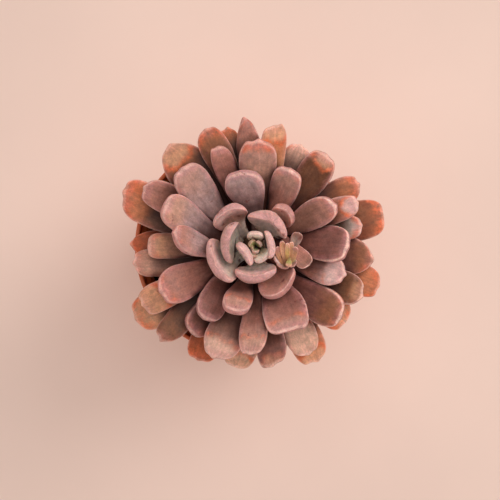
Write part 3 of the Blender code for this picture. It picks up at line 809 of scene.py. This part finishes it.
SIDE_SHOOT = (
    Small(313, 10.8, 3.4, 8.0, 2.4, 1, -6.4, 26, 1.7, Look("mauve", "rose", "taupe", 0.9, 0.1), 3.6),
    Small(66, 11.0, 2.5, 5.0, 2.0, 0, 1.5, 10, 1.7, Look("taupe", "ash", "taupe", 0.7, 0.1), -1.0),
    Small(250, 7.0, 2.5, 6.0, 2.4, 0, 0.6, 14, 2.6, Look("rose", "petal", "blush", 0.8, 0.1)),
    Small(215, 6.5, 2.0, 5.0, 2.2, 0, 0.6, 12, 2.6, Look("rose", "blush", "petal", 0.8, 0.1)),
    Small(300, 6.4, 2.6, 4.5, 2.2, 0, 0.6, 12, 2.6, Look("rose", "sage", "taupe", 0.8, 0.1)),
    Small(108, 4.6, 4.6, 3.4, 1.8, 2, -5.4, 24, 1.5, Look("tan", "tan", "rose", 0.9, 0.1), 3.4),
    Small(99, 6.2, 6.2, 2.8, 1.8, 3, -5.6, 24, 1.5, Look("olive", "sand", "tan", 0.9, 0.1), 1.6),
    Small(90, 4.8, 6.8, 2.4, 1.8, 3, -5.6, 24, 1.5, Look("olive", "honey", "sand", 0.9, 0.1), 0.0),
    Small(84, 5.6, 5.8, 2.6, 1.8, 3, -5.4, 24, 1.5, Look("olive", "tan", "sand", 0.9, 0.1), -1.6),
    Small(80, 3.8, 4.6, 3.0, 1.8, 2, -5.4, 24, 1.5, Look("straw", "tan", "rose", 0.9, 0.1), -3.2),
    Small(262, 5.6, 6.0, 2.8, 1.6, 3, 1.5, 10, 2.2, Look("straw", "fern", "sand", 0.6, 0.1), 1.4),
)

# Where the side rosette stands: its direction from the stem in degrees, and its distance in millimetres
SIDE_SHOOT_AZIMUTH = 347
SIDE_SHOOT_OUT = 15

# Of a small leaf: its widths and heights up to the shoulder, as shares of the greatest
NECK_WIDTHS = (0.45, 0.55, 0.7, 0.85, 0.97)
NECK_HEIGHTS = (0.5, 0.7, 0.9, 1.0, 0.98)
HEIGHT_CLOSING = (0.6, 2.8, 2.2)
TOP_SHARE, BOTTOM_SHARE = 0.42, 0.58  # of its thickness
HANDLE = 0.36  # of its length

# Random draws and dents of the clusters' leaves, the dents in millimetres
CLUSTER_SEED = 90
CLUSTER_DENTS = (0.25, 0.06)

# How far, how densely and from what height over the skin the rays for the shelter go
SHELTER_REACH = 22 * MM
SHELTER_RAYS = 14
SHELTER_START = 0.3 * MM
# Rays start from every third station and every fourth angle
SAMPLED_STATIONS = 3
SAMPLED_ANGLES = 4
LEAF_POINTS = STATIONS * AROUND + 2


def small_shape(small):
    """The shape of a small leaf, from its own numbers instead of from a solid."""
    turn = math.radians(small.azimuth)
    out = np.array((math.cos(turn), math.sin(turn), 0))
    left = np.array((-math.sin(turn), math.cos(turn), 0))
    up = np.array((0, 0, 1))
    start = out * small.root + left * small.side + up * small.foot
    tip = out * small.reach + left * small.side + up * small.rise
    climb = math.atan2(small.rise - small.foot, small.reach - small.root)
    handle = np.linalg.norm(tip - start) * HANDLE
    curl = math.radians(small.curl)
    first = out * math.cos(climb - curl) + up * math.sin(climb - curl)
    last = out * math.cos(climb + curl) + up * math.sin(climb + curl)
    line = np.array((start, start + first * handle, tip - last * handle, tip))
    at = RING_AT
    slope = climb - curl + 2 * curl * at
    ups = up[None] * np.cos(slope)[:, None] - out[None] * np.sin(slope)[:, None]
    outer = at[SHOULDER_RING : LAST_RING + 1]
    wide = np.append(NECK_WIDTHS, closing(outer, SHOULDER, small.end, small.end))
    fat = np.append(NECK_HEIGHTS, closing(outer, *HEIGHT_CLOSING))
    return Shape(
        line * MM,
        np.repeat(left[None], len(at), 0),
        ups,
        small.width / 2 * wide * MM,
        TOP_SHARE * small.thickness * fat * MM,
        BOTTOM_SHARE * small.thickness * fat * MM,
        small.end,
    )


def rays_about_z(count):
    """Directions spread over the upper half sphere, denser towards +Z as cosine-weighted light is."""
    golden = math.pi * (3 - math.sqrt(5))
    rays = []
    for k in range(count):
        radius, turn = math.sqrt((k + 0.5) / count), golden * k
        rays.append(Vector((radius * math.cos(turn), radius * math.sin(turn), math.sqrt(1 - radius**2))))
    return rays


def measure_shelter(pieces):
    """Gives each point the share of the light from its open side that nearby leaves hold back."""
    points, faces = [], []
    for piece in pieces:
        first = len(points)
        points.extend(vertex.co for vertex in piece.data.vertices)
        faces.extend(tuple(first + v for v in face.vertices) for face in piece.data.polygons)
    tree = BVHTree.FromPolygons(points, faces)
    rays = rays_about_z(SHELTER_RAYS)
    for piece in pieces:
        vertices = piece.data.vertices
        shelter = np.zeros(len(vertices), np.float32)
        for v in filter(is_sampled, range(len(vertices))):
            normal = vertices[v].normal
            turn = normal.to_track_quat("Z", "Y")
            start = vertices[v].co + normal * SHELTER_START
            hits = sum(tree.ray_cast(start, turn @ ray, SHELTER_REACH)[0] is not None for ray in rays)
            shelter[v] = hits / len(rays)
        fill_between(shelter, len(vertices))
        layer = piece.data.attributes.new("shelter", "FLOAT", "POINT")
        layer.data.foreach_set("value", shelter)


def is_sampled(index):
    """Whether rays start from a leaf's point, by its place in the mesh."""
    station, angle = divmod(index % LEAF_POINTS, AROUND)
    return station % SAMPLED_STATIONS == 0 and angle % SAMPLED_ANGLES == 0 and station < STATIONS


def fill_between(shelter, count):
    """Spreads the sampled spots' shelter over the points between them."""
    for first in range(0, count, LEAF_POINTS):
        grid = shelter[first : first + STATIONS * AROUND].reshape(STATIONS, AROUND)
        rows = np.arange(0, STATIONS, SAMPLED_STATIONS)
        columns = np.arange(0, AROUND + 1, SAMPLED_ANGLES)
        coarse = grid[np.ix_(rows, columns % AROUND)]
        wide = np.array([np.interp(np.arange(AROUND), columns, row) for row in coarse])
        grid[:] = np.array([np.interp(np.arange(STATIONS), rows, column) for column in wide.T]).T
        shelter[first + STATIONS * AROUND] = grid[-1].mean()
        shelter[first + STATIONS * AROUND + 1] = grid[0].mean()


def make_cluster(node, leaves, centre, finish):
    """Small leaves about a centre, set so that their tops reach the top of the cluster's solid."""
    tier = TIERS["heart_leaf"]
    skins = [
        leaf_skin(small_shape(small), small.look, tier, seed, *CLUSTER_DENTS)
        for seed, small in enumerate(leaves, start=CLUSTER_SEED)
    ]
    top = max(point.z for skin in skins for point in skin.points)
    shift = Vector((centre.x, centre.y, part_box(node)[1].z - top))
    skins = [skin._replace(points=[point + shift for point in skin.points]) for skin in skins]
    add_leaves(f"{node}_leaves", skins, finish, (node,))


# ---------------------------------------------------------------- settings


def colour_choice(name, default, description):
    return bpy.props.FloatVectorProperty(
        name=name, description=description, subtype="COLOR", default=default, min=0, max=1
    )


def amount_choice(name, default, description, **limits):
    limits.setdefault("min", 0)
    return bpy.props.FloatProperty(name=name, description=description, default=default, **limits)


def count_choice(name, default, description, least=0):
    return bpy.props.IntProperty(name=name, description=description, default=default, min=least)


class SucculentLeafSettings(bpy.types.PropertyGroup):
    bloom: amount_choice("Bloom", 1.0, "Strength of the powdery coat", max=2)
    # Depth sets the strength of the painted shade between leaves, and Deep Colour is the colour of that
    # painted shade
    shelter: amount_choice("Depth", 0.92, "Strength of the deeper colour between leaves", max=1)
    painted_shade_colour: colour_choice("Deep Colour", (0.050, 0.012, 0.010), "Colour in the folds between leaves")
    bloom_colour: colour_choice("Bloom Colour", (0.60, 0.42, 0.38), "Colour of the powdery coat")
    # Rim Colour is the margins' pale colour, partly their own and partly a painted highlight
    rim_and_highlight_colour: colour_choice("Rim Colour", (0.86, 0.56, 0.48), "Colour of the thin leaf margins")
    flush_colour: colour_choice("Flush Colour", (0.56, 0.245, 0.25), "Pink towards the margins")
    crest_colour: colour_choice(
        "Crest Colour", (0.64, 0.16, 0.055), "Flush on the edge where a leaf's end turns over"
    )
    scar_colour: colour_choice("Scar Colour", (0.20, 0.045, 0.04), "Colour of small healed marks")


class SucculentPotSettings(bpy.types.PropertyGroup):
    colour: colour_choice("Plastic", (0.66, 0.16, 0.05), "Colour of the pot's plastic")
    lip: amount_choice(
        "Lip Rounding", 0.9 * MM, "Radius of the rounded lip",
        subtype="DISTANCE", min=0.2 * MM, max=1.0 * MM, precision=5,
    )
    sides: count_choice("Sides", 144, "Segments round the pot", least=24)
    roughness: amount_choice("Roughness", 0.45, "How matt the plastic is", min=0.1, max=0.9)


class SucculentSoilSettings(bpy.types.PropertyGroup):
    colour: colour_choice("Soil", (0.018, 0.009, 0.006), "Colour of the compost")
    grains: count_choice("Grains", 420, "Loose crumbs on top")
    grit: count_choice("Grit", 60, "Pale grains among the crumbs")
    seed: bpy.props.IntProperty(name="Seed", description="Arrangement of the crumbs", default=7)


class SucculentStageSettings(bpy.types.PropertyGroup):
    floor_colour: colour_choice("Floor", (0.83, 0.62, 0.535), "Colour of the floor")
    sky: amount_choice("Sky", 0.31, "Light from all round")
    overhead: amount_choice("Overhead", 0.28, "What the light from above adds to the floor")
    window: amount_choice("Window", 0.24, "What the light at the side adds to the floor")
    ring: amount_choice("Ring", 0.05, "What each low light adds to the floor")
    camera_height: amount_choice(
        "Camera Height", 0.8, "Camera above the pot's rim", subtype="DISTANCE", min=0.2, max=3
    )


SETTINGS = {
    "succulent_leaves": SucculentLeafSettings,
    "succulent_pot": SucculentPotSettings,
    "succulent_soil": SucculentSoilSettings,
    "succulent_stage": SucculentStageSettings,
}


# ---------------------------------------------------------------- operators


class SUCCULENT_OT_leaves(bpy.types.Operator):
    """Model the leaves of one tier round their solids"""

    bl_idname = "succulent.leaves"
    bl_label = "Leaves"

    tier: bpy.props.EnumProperty(
        name="Tier",
        description="Which leaves to make",
        items=[(key, tier.title, f"Make the {tier.title.lower()}") for key, tier in TIERS.items()],
    )

    def execute(self, context):
        finish = leaf_finish(self.tier, context.scene.succulent_leaves)
        tier = TIERS[self.tier]
        for seed, (node, look) in enumerate(LOOKS.items()):
            if node.startswith(self.tier):
                skin = leaf_skin(read_shape(node), look, tier, seed, tier.dents, FINE_SHARE * tier.dents)
                add_leaves(f"{node}_skin", [skin], finish, (node,))
        return {"FINISHED"}


class SUCCULENT_OT_clusters(bpy.types.Operator):
    """Model the bud at the heart and the side rosette beside it"""

    bl_idname = "succulent.clusters"
    bl_label = "Bud and Side Rosette"

    def execute(self, context):
        finish = leaf_finish("heart_leaf", context.scene.succulent_leaves)
        finish.name = "small_leaves"
        make_cluster("heart_bud", BUD, STEM_AXIS, finish)
        turn = math.radians(SIDE_SHOOT_AZIMUTH)
        centre = STEM_AXIS + Vector((math.cos(turn), math.sin(turn), 0)) * SIDE_SHOOT_OUT * MM
        make_cluster("side_rosette", SIDE_SHOOT, centre, finish)
        return {"FINISHED"}


class SUCCULENT_OT_shelter(bpy.types.Operator):
    """Measure how sheltered each spot of the leaves is, for the shade painted into their colour between the
    leaves
    """

    bl_idname = "succulent.shelter"
    bl_label = "Shelter"

    def execute(self, context):
        pieces = [o for o in context.scene.objects if o.type == "MESH" and "along" in o.data.attributes]
        if not pieces:
            raise RuntimeError("There are no leaves yet")
        measure_shelter(pieces)
        return {"FINISHED"}


# ---------------------------------------------------------------- pot

# The pot's sizes in millimetres, as its solid has them
RIM_BAND = 12.0
RIM_WALL = 2.0
LEDGE = 2.7
WALL = 1.3
FLOOR = 1.8
BASE_RADIUS = 36.5
DRAIN_COUNT = 6
DRAIN_RADIUS = 3.5
DRAIN_CIRCLE = 25.0
DRAIN_TURN = 0.06  # of the way from one hole to the next

# What the skin of the pot adds
DRAIN_SIDES = 24
DRAIN_BELOW, DRAIN_ABOVE = -2.0, 4.0  # the heights that the holes' cutters reach down and up to
STEP_LINES = (0.1, 0.86)  # heights of the step lines, as shares of the wall
STEP = 0.25  # how far a step line stands out
FOOT_RING = 6.0  # width of the ring that the pot stands on
SHARP_ANGLE = math.radians(40)


def rounded(profile, radius, steps=4):
    """The profile with its corners rounded off, apart from its two ends."""
    result = [profile[0]]
    for before, corner, after in zip(profile, profile[1:], profile[2:]):
        corner = Vector(corner)
        back, forth = Vector(before) - corner, Vector(after) - corner
        reach = min(radius, 0.45 * back.length, 0.45 * forth.length)
        start, end = corner + back.normalized() * reach, corner + forth.normalized() * reach
        for k in range(steps + 1):
            t = k / steps
            place = start * (1 - t) ** 2 + corner * 2 * t * (1 - t) + end * t**2
            result.append((place.x, place.y))
    result.append(profile[-1])
    return result


def pot_profile():
    """From the centre of the underside, up the outside, over the rim and down the inside, in millimetres."""
    high, rim = RIM / MM, RIM_RADIUS / MM
    band_low = high - RIM_BAND
    inner_rim = rim - RIM_WALL
    inner_top = inner_rim - LEDGE
    outer_top = inner_top + WALL
    wall = [
        (0, 0.6),
        (BASE_RADIUS - FOOT_RING, 0.6),
        (BASE_RADIUS - FOOT_RING + 0.6, 0),
        (BASE_RADIUS - 1.0, 0),
        (BASE_RADIUS, 1.0),
    ]
    for share in STEP_LINES:
        radius = BASE_RADIUS + (outer_top - BASE_RADIUS) * share
        wall += [(radius, band_low * share - 0.5), (radius + STEP, band_low * share + 0.1)]
    return wall + [
        (outer_top, band_low - 1.0),
        (rim - 0.9, band_low),
        (rim - 0.4, band_low + 0.5),
        (rim - 0.3, band_low + 3.0),
        (rim - 0.5, band_low + 3.4),
        (rim - 0.15, high - 2.2),
        (rim, high - 1.6),
        (rim, high),
        (inner_rim, high),
        (inner_rim - 0.1, high - 2.0),
        (inner_rim - 0.2, band_low + 2.5),
        (inner_top, band_low + 1.0),
        (BASE_RADIUS - WALL, FLOOR + 1.0),
        (BASE_RADIUS - WALL - 1.0, FLOOR),
        (0, FLOOR),
    ]


def cut(piece, cutter):
    modifier = piece.modifiers.new("cut", "BOOLEAN")
    modifier.operation = "DIFFERENCE"
    modifier.solver = "EXACT"
    modifier.object = cutter


def apply_modifiers(piece):
    evaluated = piece.evaluated_get(bpy.context.evaluated_depsgraph_get())
    mesh = bpy.data.meshes.new_from_object(evaluated)
    piece.modifiers.clear()
    piece.data = mesh


def pot_finish(settings):
    nodes = Nodes("terracotta_plastic")
    place = nodes.place()
    stretched = nodes.add("ShaderNodeMapping", {"Vector": place, "Scale": (1.0, 1.0, 0.12)}).outputs[0]
    wide, cloudy = nodes.noise(45.0, 4.0, 0.6), nodes.noise(160.0, 5.0, 0.65)
    scuffs, grain = nodes.noise(900.0, 3.0, 0.6, stretched), nodes.noise(2600.0, 2.0, 0.6)
    base = settings.colour
    pale = tuple(c * 1.15 + 0.05 for c in base)
    colour = nodes.mix(nodes.span(wide, 0.3, 0.75), opaque(base, 0.85), opaque(base, 1.1))
    colour = nodes.mix(nodes.span(scuffs, 0.62, 0.85, 0.0, 0.5), colour, opaque(pale))
    # Splashes of soil below the rim band, more of them towards the foot
    height = nodes.add("ShaderNodeSeparateXYZ", {0: place}).outputs["Z"]
    band_low = RIM - RIM_BAND * MM
    splash = nodes.times(nodes.span(height, band_low, 0.0, 0.0, 1.0), nodes.span(cloudy, 0.5, 0.72), 0.35)
    return nodes.finish({
        "Base Color": nodes.mix(splash, colour, (0.10, 0.06, 0.04, 1.0)),
        "Roughness": nodes.span(cloudy, 0.3, 0.7, settings.roughness - 0.06, settings.roughness + 0.10),
        "Subsurface Weight": 0.3,
        "Subsurface Radius": (1.0, 0.3, 0.1),
        "Subsurface Scale": 1.5 * MM,
        "Normal": nodes.bumps((scuffs, 0.12, 0.08 * MM), (grain, 0.15, 0.04 * MM)),
    })


class SUCCULENT_OT_pot(bpy.types.Operator):
    """Model the pot: a thin moulded shell with a rim band, a rounded lip and drainage holes"""

    bl_idname = "succulent.pot"
    bl_label = "Pot"

    def execute(self, context):
        settings = context.scene.succulent_pot
        profile = [(r * MM, z * MM) for r, z in rounded(pot_profile(), settings.lip / MM)]
        points, faces = turned(profile, settings.sides)
        pot = add_piece("pot_shell", points, faces, pot_finish(settings), ("pot",))
        cutters = []
        for number in range(DRAIN_COUNT):
            angle = 2 * math.pi * (number + DRAIN_TURN) / DRAIN_COUNT
            low, high = DRAIN_BELOW * MM, DRAIN_ABOVE * MM
            drill = ((0, low), (DRAIN_RADIUS * MM, low), (DRAIN_RADIUS * MM, high), (0, high))
            points, faces = turned(drill, DRAIN_SIDES)
            shift = Vector((DRAIN_CIRCLE * MM * math.cos(angle), DRAIN_CIRCLE * MM * math.sin(angle), 0))
            mesh = bpy.data.meshes.new("drain")
            mesh.from_pydata([tuple(point + shift) for point in points], [], faces)
            cutter = bpy.data.objects.new("drain", mesh)
            context.scene.collection.objects.link(cutter)
            cut(pot, cutter)
            cutters.append(cutter)
        context.view_layer.update()
        apply_modifiers(pot)
        pot.data.set_sharp_from_angle(angle=SHARP_ANGLE)
        for cutter in cutters:
            bpy.data.objects.remove(cutter)
        return {"FINISHED"}


# ---------------------------------------------------------------- soil and stem

SOIL_RINGS = 46
SOIL_SIDES = 150
SOIL_DROP = 17.0 * MM  # from the rim down to the soil at the wall
SOIL_LUMPS = 1.2 * MM  # what the lumps may add on top of the even dome
SOIL_GAP = 2.5 * MM  # from the pot's wall to the soil's foot
BARE_RADIUS = 9 * MM  # no crumbs lie closer to the stem than this
# The least and the greatest crumb and grit, in millimetres
CRUMB_SIZES, GRIT_SIZES = (0.6, 2.0), (0.6, 1.3)
WALL_CLEARANCE = 2.2 * MM  # crumbs shrink within this distance of the wall
EDGE_HEIGHT = RIM - SOIL_DROP


def dome(out):
    """The even height of the soil, out being 0 at its middle and 1 at the wall."""
    return EDGE_HEIGHT + (SOIL_HIGH.z - EDGE_HEIGHT - SOIL_LUMPS) * (1 - out**2)


def soil_height(x, y, seed):
    """How far the soil's surface stands proud of its even dome."""
    place = Vector((x, y, seed * 0.01))
    lumps = noise.fractal(place / (9 * MM), 0.8, 2.1, 4) * 0.9
    grit = noise.noise(place / (1.6 * MM)) * 0.35
    return (lumps + grit) * MM


def soil_finish(settings):
    nodes = Nodes("potting_soil")
    wide, fine = nodes.noise(220.0, 6.0, 0.7), nodes.noise(1500.0, 4.0, 0.7)
    base = settings.colour
    colour = nodes.mix(nodes.span(fine, 0.35, 0.7), opaque(base, 0.4), opaque(base, 1.8))
    fibre = nodes.span(nodes.noise(700.0, 2.0, 0.8), 0.62, 0.75, 0.0, 0.6)
    return nodes.finish({
        "Base Color": nodes.mix(fibre, colour, (0.11, 0.06, 0.03, 1.0)),
        "Roughness": nodes.span(wide, 0.3, 0.7, 0.85, 1.0),
        "Normal": nodes.bumps((wide, 0.6, 0.8 * MM), (fine, 0.6, 0.3 * MM)),
    })


def grit_finish():
    nodes = Nodes("pale_grit")
    fine = nodes.noise(1900.0, 3.0, 0.7)
    return nodes.finish({
        "Base Color": nodes.mix(nodes.span(fine, 0.3, 0.7), (0.34, 0.27, 0.20, 1), (0.60, 0.52, 0.43, 1)),
        "Roughness": 0.9,
        "Normal": nodes.bumps((fine, 0.6, 0.15 * MM)),
    })


def crumb(rng, place, size):
    """An irregular grain: points and faces."""
    made = bmesh.new()
    bmesh.ops.create_icosphere(made, subdivisions=2, radius=1.0)
    shape = Vector((rng.uniform(0.7, 1.3), rng.uniform(0.5, 1.0), rng.uniform(0.4, 0.8)))
    turn = Matrix.Rotation(rng.uniform(0, 6.28), 3, "Z") @ Matrix.Rotation(rng.uniform(-0.6, 0.6), 3, "X")
    points = []
    for vertex in made.verts:
        swell = 1 + 0.35 * noise.noise(vertex.co * 1.7 + place * 500)
        points.append(place + turn @ (vertex.co * shape * swell * size))
    faces = [tuple(vertex.index for vertex in face.verts) for face in made.faces]
    made.free()
    return points, faces


def scattered(rng, number, sizes, seed):
    """Points and faces of loose grains on the soil, away from the stem."""
    radius = SOIL_HIGH.x
    points, faces = [], []
    for _ in range(number):
        out, turn = radius * 0.97 * math.sqrt(rng.random()), rng.uniform(0, 2 * math.pi)
        x, y = out * math.cos(turn), out * math.sin(turn)
        if math.hypot(x - STEM_AXIS.x, y - STEM_AXIS.y) < BARE_RADIUS:
            continue
        size = rng.uniform(*sizes) * MM * min(1.0, (radius - out) / WALL_CLEARANCE)
        height = dome(out / radius) + soil_height(x, y, seed) + size * 0.2
        grain, sides = crumb(rng, Vector((x, y, height)), size)
        faces.extend(tuple(len(points) + corner for corner in side) for side in sides)
        points.extend(grain)
    return points, faces


class SUCCULENT_OT_soil(bpy.types.Operator):
    """Model the compost: a lumpy fill, and loose crumbs and grit on top of it"""

    bl_idname = "succulent.soil"
    bl_label = "Soil"

    def execute(self, context):
        settings = context.scene.succulent_soil
        finish = soil_finish(settings)
        radius, low, high = SOIL_HIGH.x, SOIL_LOW.z, SOIL_HIGH.z
        base = (BASE_RADIUS - WALL) * MM - SOIL_GAP
        profile = [(0, low), (base - 2 * MM, low), (base, low + 2 * MM), (radius, EDGE_HEIGHT - 1.5 * MM)]
        for k in range(SOIL_RINGS, -1, -1):
            out = k / SOIL_RINGS
            profile.append((radius * out * 0.999, dome(out)))
        points, faces = turned(profile, SOIL_SIDES)
        for point in points:
            if point.z > EDGE_HEIGHT - 1 * MM:
                out = math.hypot(point.x, point.y) / radius
                point.z += soil_height(point.x, point.y, settings.seed) * min(1.0, (1 - out) * 12 + 0.15)
                point.z = min(point.z, high)
        add_piece("soil_fill", points, faces, finish, ("soil",))

        rng = random.Random(settings.seed)
        for name, look, number, sizes in (
            ("soil_crumbs", finish, settings.grains, CRUMB_SIZES),
            ("soil_grit", grit_finish(), settings.grit, GRIT_SIZES),
        ):
            points, faces = scattered(rng, number, sizes, settings.seed)
            add_piece(name, points, faces, look, ())
        return {"FINISHED"}


def stem_finish():
    nodes = Nodes("stem")
    wide, fine = nodes.noise(250.0, 5.0, 0.6), nodes.noise(1600.0, 3.0, 0.6)
    colour = nodes.mix(nodes.span(wide, 0.3, 0.7), (0.10, 0.05, 0.025, 1), (0.26, 0.15, 0.08, 1))
    return nodes.finish({
        "Base Color": nodes.mix(nodes.span(fine, 0.55, 0.8, 0.0, 0.5), colour, (0.38, 0.27, 0.18, 1)),
        "Roughness": nodes.span(wide, 0.3, 0.7, 0.75, 0.92),
        "Normal": nodes.bumps((fine, 0.5, 0.3 * MM)),
    })


STEM_RADIUS_HIGH = 3.0 * MM
STEM_SHRINK = 0.35 * MM  # keeps the ridges of the bark within the stem's solid
STEM_TAPER = 6 * MM  # the stem gets thinner from here above the rim
STEM_STATIONS = 110
STEM_SIDES = 56


class SUCCULENT_OT_stem(bpy.types.Operator):
    """Model the woody stem, ringed by the scars of shed leaves"""

    bl_idname = "succulent.stem"
    bl_label = "Stem"

    def execute(self, context):
        low_radius = (STEM_HIGH.x - STEM_LOW.x) / 2
        profile = [(0, STEM_LOW.z)]
        for k in range(STEM_STATIONS + 1):
            z = STEM_LOW.z + (STEM_HIGH.z - STEM_LOW.z) * k / STEM_STATIONS
            share = smoothstep(RIM + STEM_TAPER, STEM_HIGH.z, z)
            radius = low_radius + (STEM_RADIUS_HIGH - low_radius) * share - STEM_SHRINK
            close = min(1.0, 0.72 + 0.28 * min(k, STEM_STATIONS - k) / 3)
            profile.append((float(radius * close), z))
        profile.append((0, STEM_HIGH.z))
        points, faces = turned(profile, STEM_SIDES)
        for point in points:
            out = math.hypot(point.x, point.y)
            if out:
                turn = math.atan2(point.y, point.x)
                scar = math.sin(point.z / (2.1 * MM) + 2 * math.sin(turn * 3 + point.z / (4 * MM)))
                push = 0.22 * scar + 0.3 * noise.noise(point / (2.2 * MM))
                grow = 1 + push * MM / out
                point.x *= grow
                point.y *= grow
            point += STEM_AXIS
        add_piece("stem_bark", points, faces, stem_finish(), ("stem",))
        return {"FINISHED"}


# ---------------------------------------------------------------- stage


# Lamps are round and soft: where each hangs from the middle of the plant, its size and its colour
Lamp = namedtuple("Lamp", "distance azimuth elevation size colour")
OVERHEAD = Lamp(1.7, 60, 76, 1.6, (1.0, 0.98, 0.96))
WINDOW = Lamp(1.6, 35, 42, 1.0, (1.0, 0.97, 0.94))
RING = Lamp(1.4, 0, 20, 0.9, (1.0, 0.95, 0.9))
RING_LIGHTS = 5
LIGHTS_AIM = Vector((0, 0, 0.1))
SKY_COLOUR = (1.0, 0.97, 0.95, 1.0)

FLOOR_SIZE = 6.0
# The floor is a little paler round the pot, which takes the heaviness out of its soft shadow
PALER, PALER_FROM, PALER_TO = 1.09, 0.05, 0.20

SENSOR_WIDTH = 36.0
VIEW_WIDTH = 242.60068 * MM  # how much of the rim's plane the camera takes in
VIEW_CENTRE = (3.4 * MM, -1.6 * MM)
FARTHEST = 20.0


def floor_finish(settings):
    nodes = Nodes("pale_floor")
    wide = nodes.noise(9.0, 4.0, 0.55)
    base = settings.floor_colour
    colour = nodes.mix(nodes.span(wide, 0.3, 0.7), opaque(base, 0.985), opaque(base, 1.015))
    away = nodes.add("ShaderNodeVectorMath", {0: nodes.place()}, operation="LENGTH").outputs["Value"]
    colour = nodes.shaded(colour, nodes.span(away, PALER_FROM, PALER_TO, PALER, 1.0))
    return nodes.finish({"Base Color": colour, "Roughness": 0.8, "Specular IOR Level": 0.2})


def add_light(name, lamp, share):
    """share is what the light adds to the brightness of a white floor."""
    light = bpy.data.lights.new(name, "AREA")
    light.shape = "DISK"
    light.size = lamp.size
    light.energy = share * math.pi**2 * lamp.distance**2 / math.sin(math.radians(lamp.elevation))
    light.color = lamp.colour
    hung = bpy.data.objects.new(name, light)
    bpy.context.scene.collection.objects.link(hung)
    around = Matrix.Rotation(math.radians(lamp.azimuth), 3, "Z")
    away = around @ Matrix.Rotation(-math.radians(lamp.elevation), 3, "Y") @ Vector((lamp.distance, 0, 0))
    hung.location = LIGHTS_AIM + away
    hung.rotation_euler = away.to_track_quat("Z", "Y").to_euler()


class SUCCULENT_OT_stage(bpy.types.Operator):
    """Lay the floor, hang the lights and place the camera"""

    bl_idname = "succulent.stage"
    bl_label = "Stage"

    def execute(self, context):
        settings = context.scene.succulent_stage
        scene = context.scene
        grid = {"x_subdivisions": 8, "y_subdivisions": 8, "size": FLOOR_SIZE}
        bpy.ops.mesh.primitive_grid_add(**grid, location=(0, 0, 0))
        floor = context.object
        floor.name = "floor"
        floor.data.materials.append(floor_finish(settings))

        world = bpy.data.worlds.new("soft_sky")
        world.use_nodes = True
        sky = world.node_tree.nodes["Background"]
        sky.inputs["Color"].default_value = SKY_COLOUR
        sky.inputs["Strength"].default_value = settings.sky
        scene.world = world
        scene.view_settings.view_transform = "Standard"

        add_light("overhead", OVERHEAD, settings.overhead)
        add_light("window", WINDOW, settings.window)
        for number in range(RING_LIGHTS):
            lamp = RING._replace(azimuth=360 * (number + 0.5) / RING_LIGHTS)
            add_light(f"ring_{number + 1}", lamp, settings.ring)

        camera = bpy.data.cameras.new("camera")
        eye = bpy.data.objects.new("camera", camera)
        scene.collection.objects.link(eye)
        eye.location = (*VIEW_CENTRE, RIM + settings.camera_height)
        camera.sensor_width = SENSOR_WIDTH
        camera.lens = SENSOR_WIDTH * settings.camera_height / VIEW_WIDTH
        camera.clip_end = FARTHEST
        scene.camera = eye
        return {"FINISHED"}


# ---------------------------------------------------------------- panel and registration


class SUCCULENT_PT_panel(bpy.types.Panel):
    """Sizes, colours and steps of the succulent"""

    bl_idname = "SUCCULENT_PT_panel"
    bl_label = "Potted Succulent"
    bl_space_type = "VIEW_3D"
    bl_region_type = "UI"
    bl_category = "Succulent"

    def draw(self, context):
        layout = self.layout
        scene = context.scene
        for key, tier in TIERS.items():
            layout.operator("succulent.leaves", text=tier.title).tier = key
        for name in ("clusters", "shelter", "pot", "soil", "stem", "stage"):
            layout.operator(f"succulent.{name}")
        for name, kind in SETTINGS.items():
            box = layout.box()
            for key in kind.__annotations__:
                box.prop(getattr(scene, name), key)


CLASSES = (
    *SETTINGS.values(),
    SUCCULENT_OT_leaves,
    SUCCULENT_OT_clusters,
    SUCCULENT_OT_shelter,
    SUCCULENT_OT_pot,
    SUCCULENT_OT_soil,
    SUCCULENT_OT_stem,
    SUCCULENT_OT_stage,
    SUCCULENT_PT_panel,
)


def register():
    for made in CLASSES:
        bpy.utils.register_class(made)
    for name, settings in SETTINGS.items():
        setattr(bpy.types.Scene, name, bpy.props.PointerProperty(type=settings))


def unregister():
    for name in SETTINGS:
        delattr(bpy.types.Scene, name)
    for made in reversed(CLASSES):
        bpy.utils.unregister_class(made)


def main():
    register()
    bpy.ops.succulent.stage()
    bpy.ops.succulent.pot()
    bpy.ops.succulent.soil()
    bpy.ops.succulent.stem()
    for tier in TIERS:
        bpy.ops.succulent.leaves(tier=tier)
    bpy.ops.succulent.clusters()
    bpy.ops.succulent.shelter()


if __name__ == "__main__":
    main()
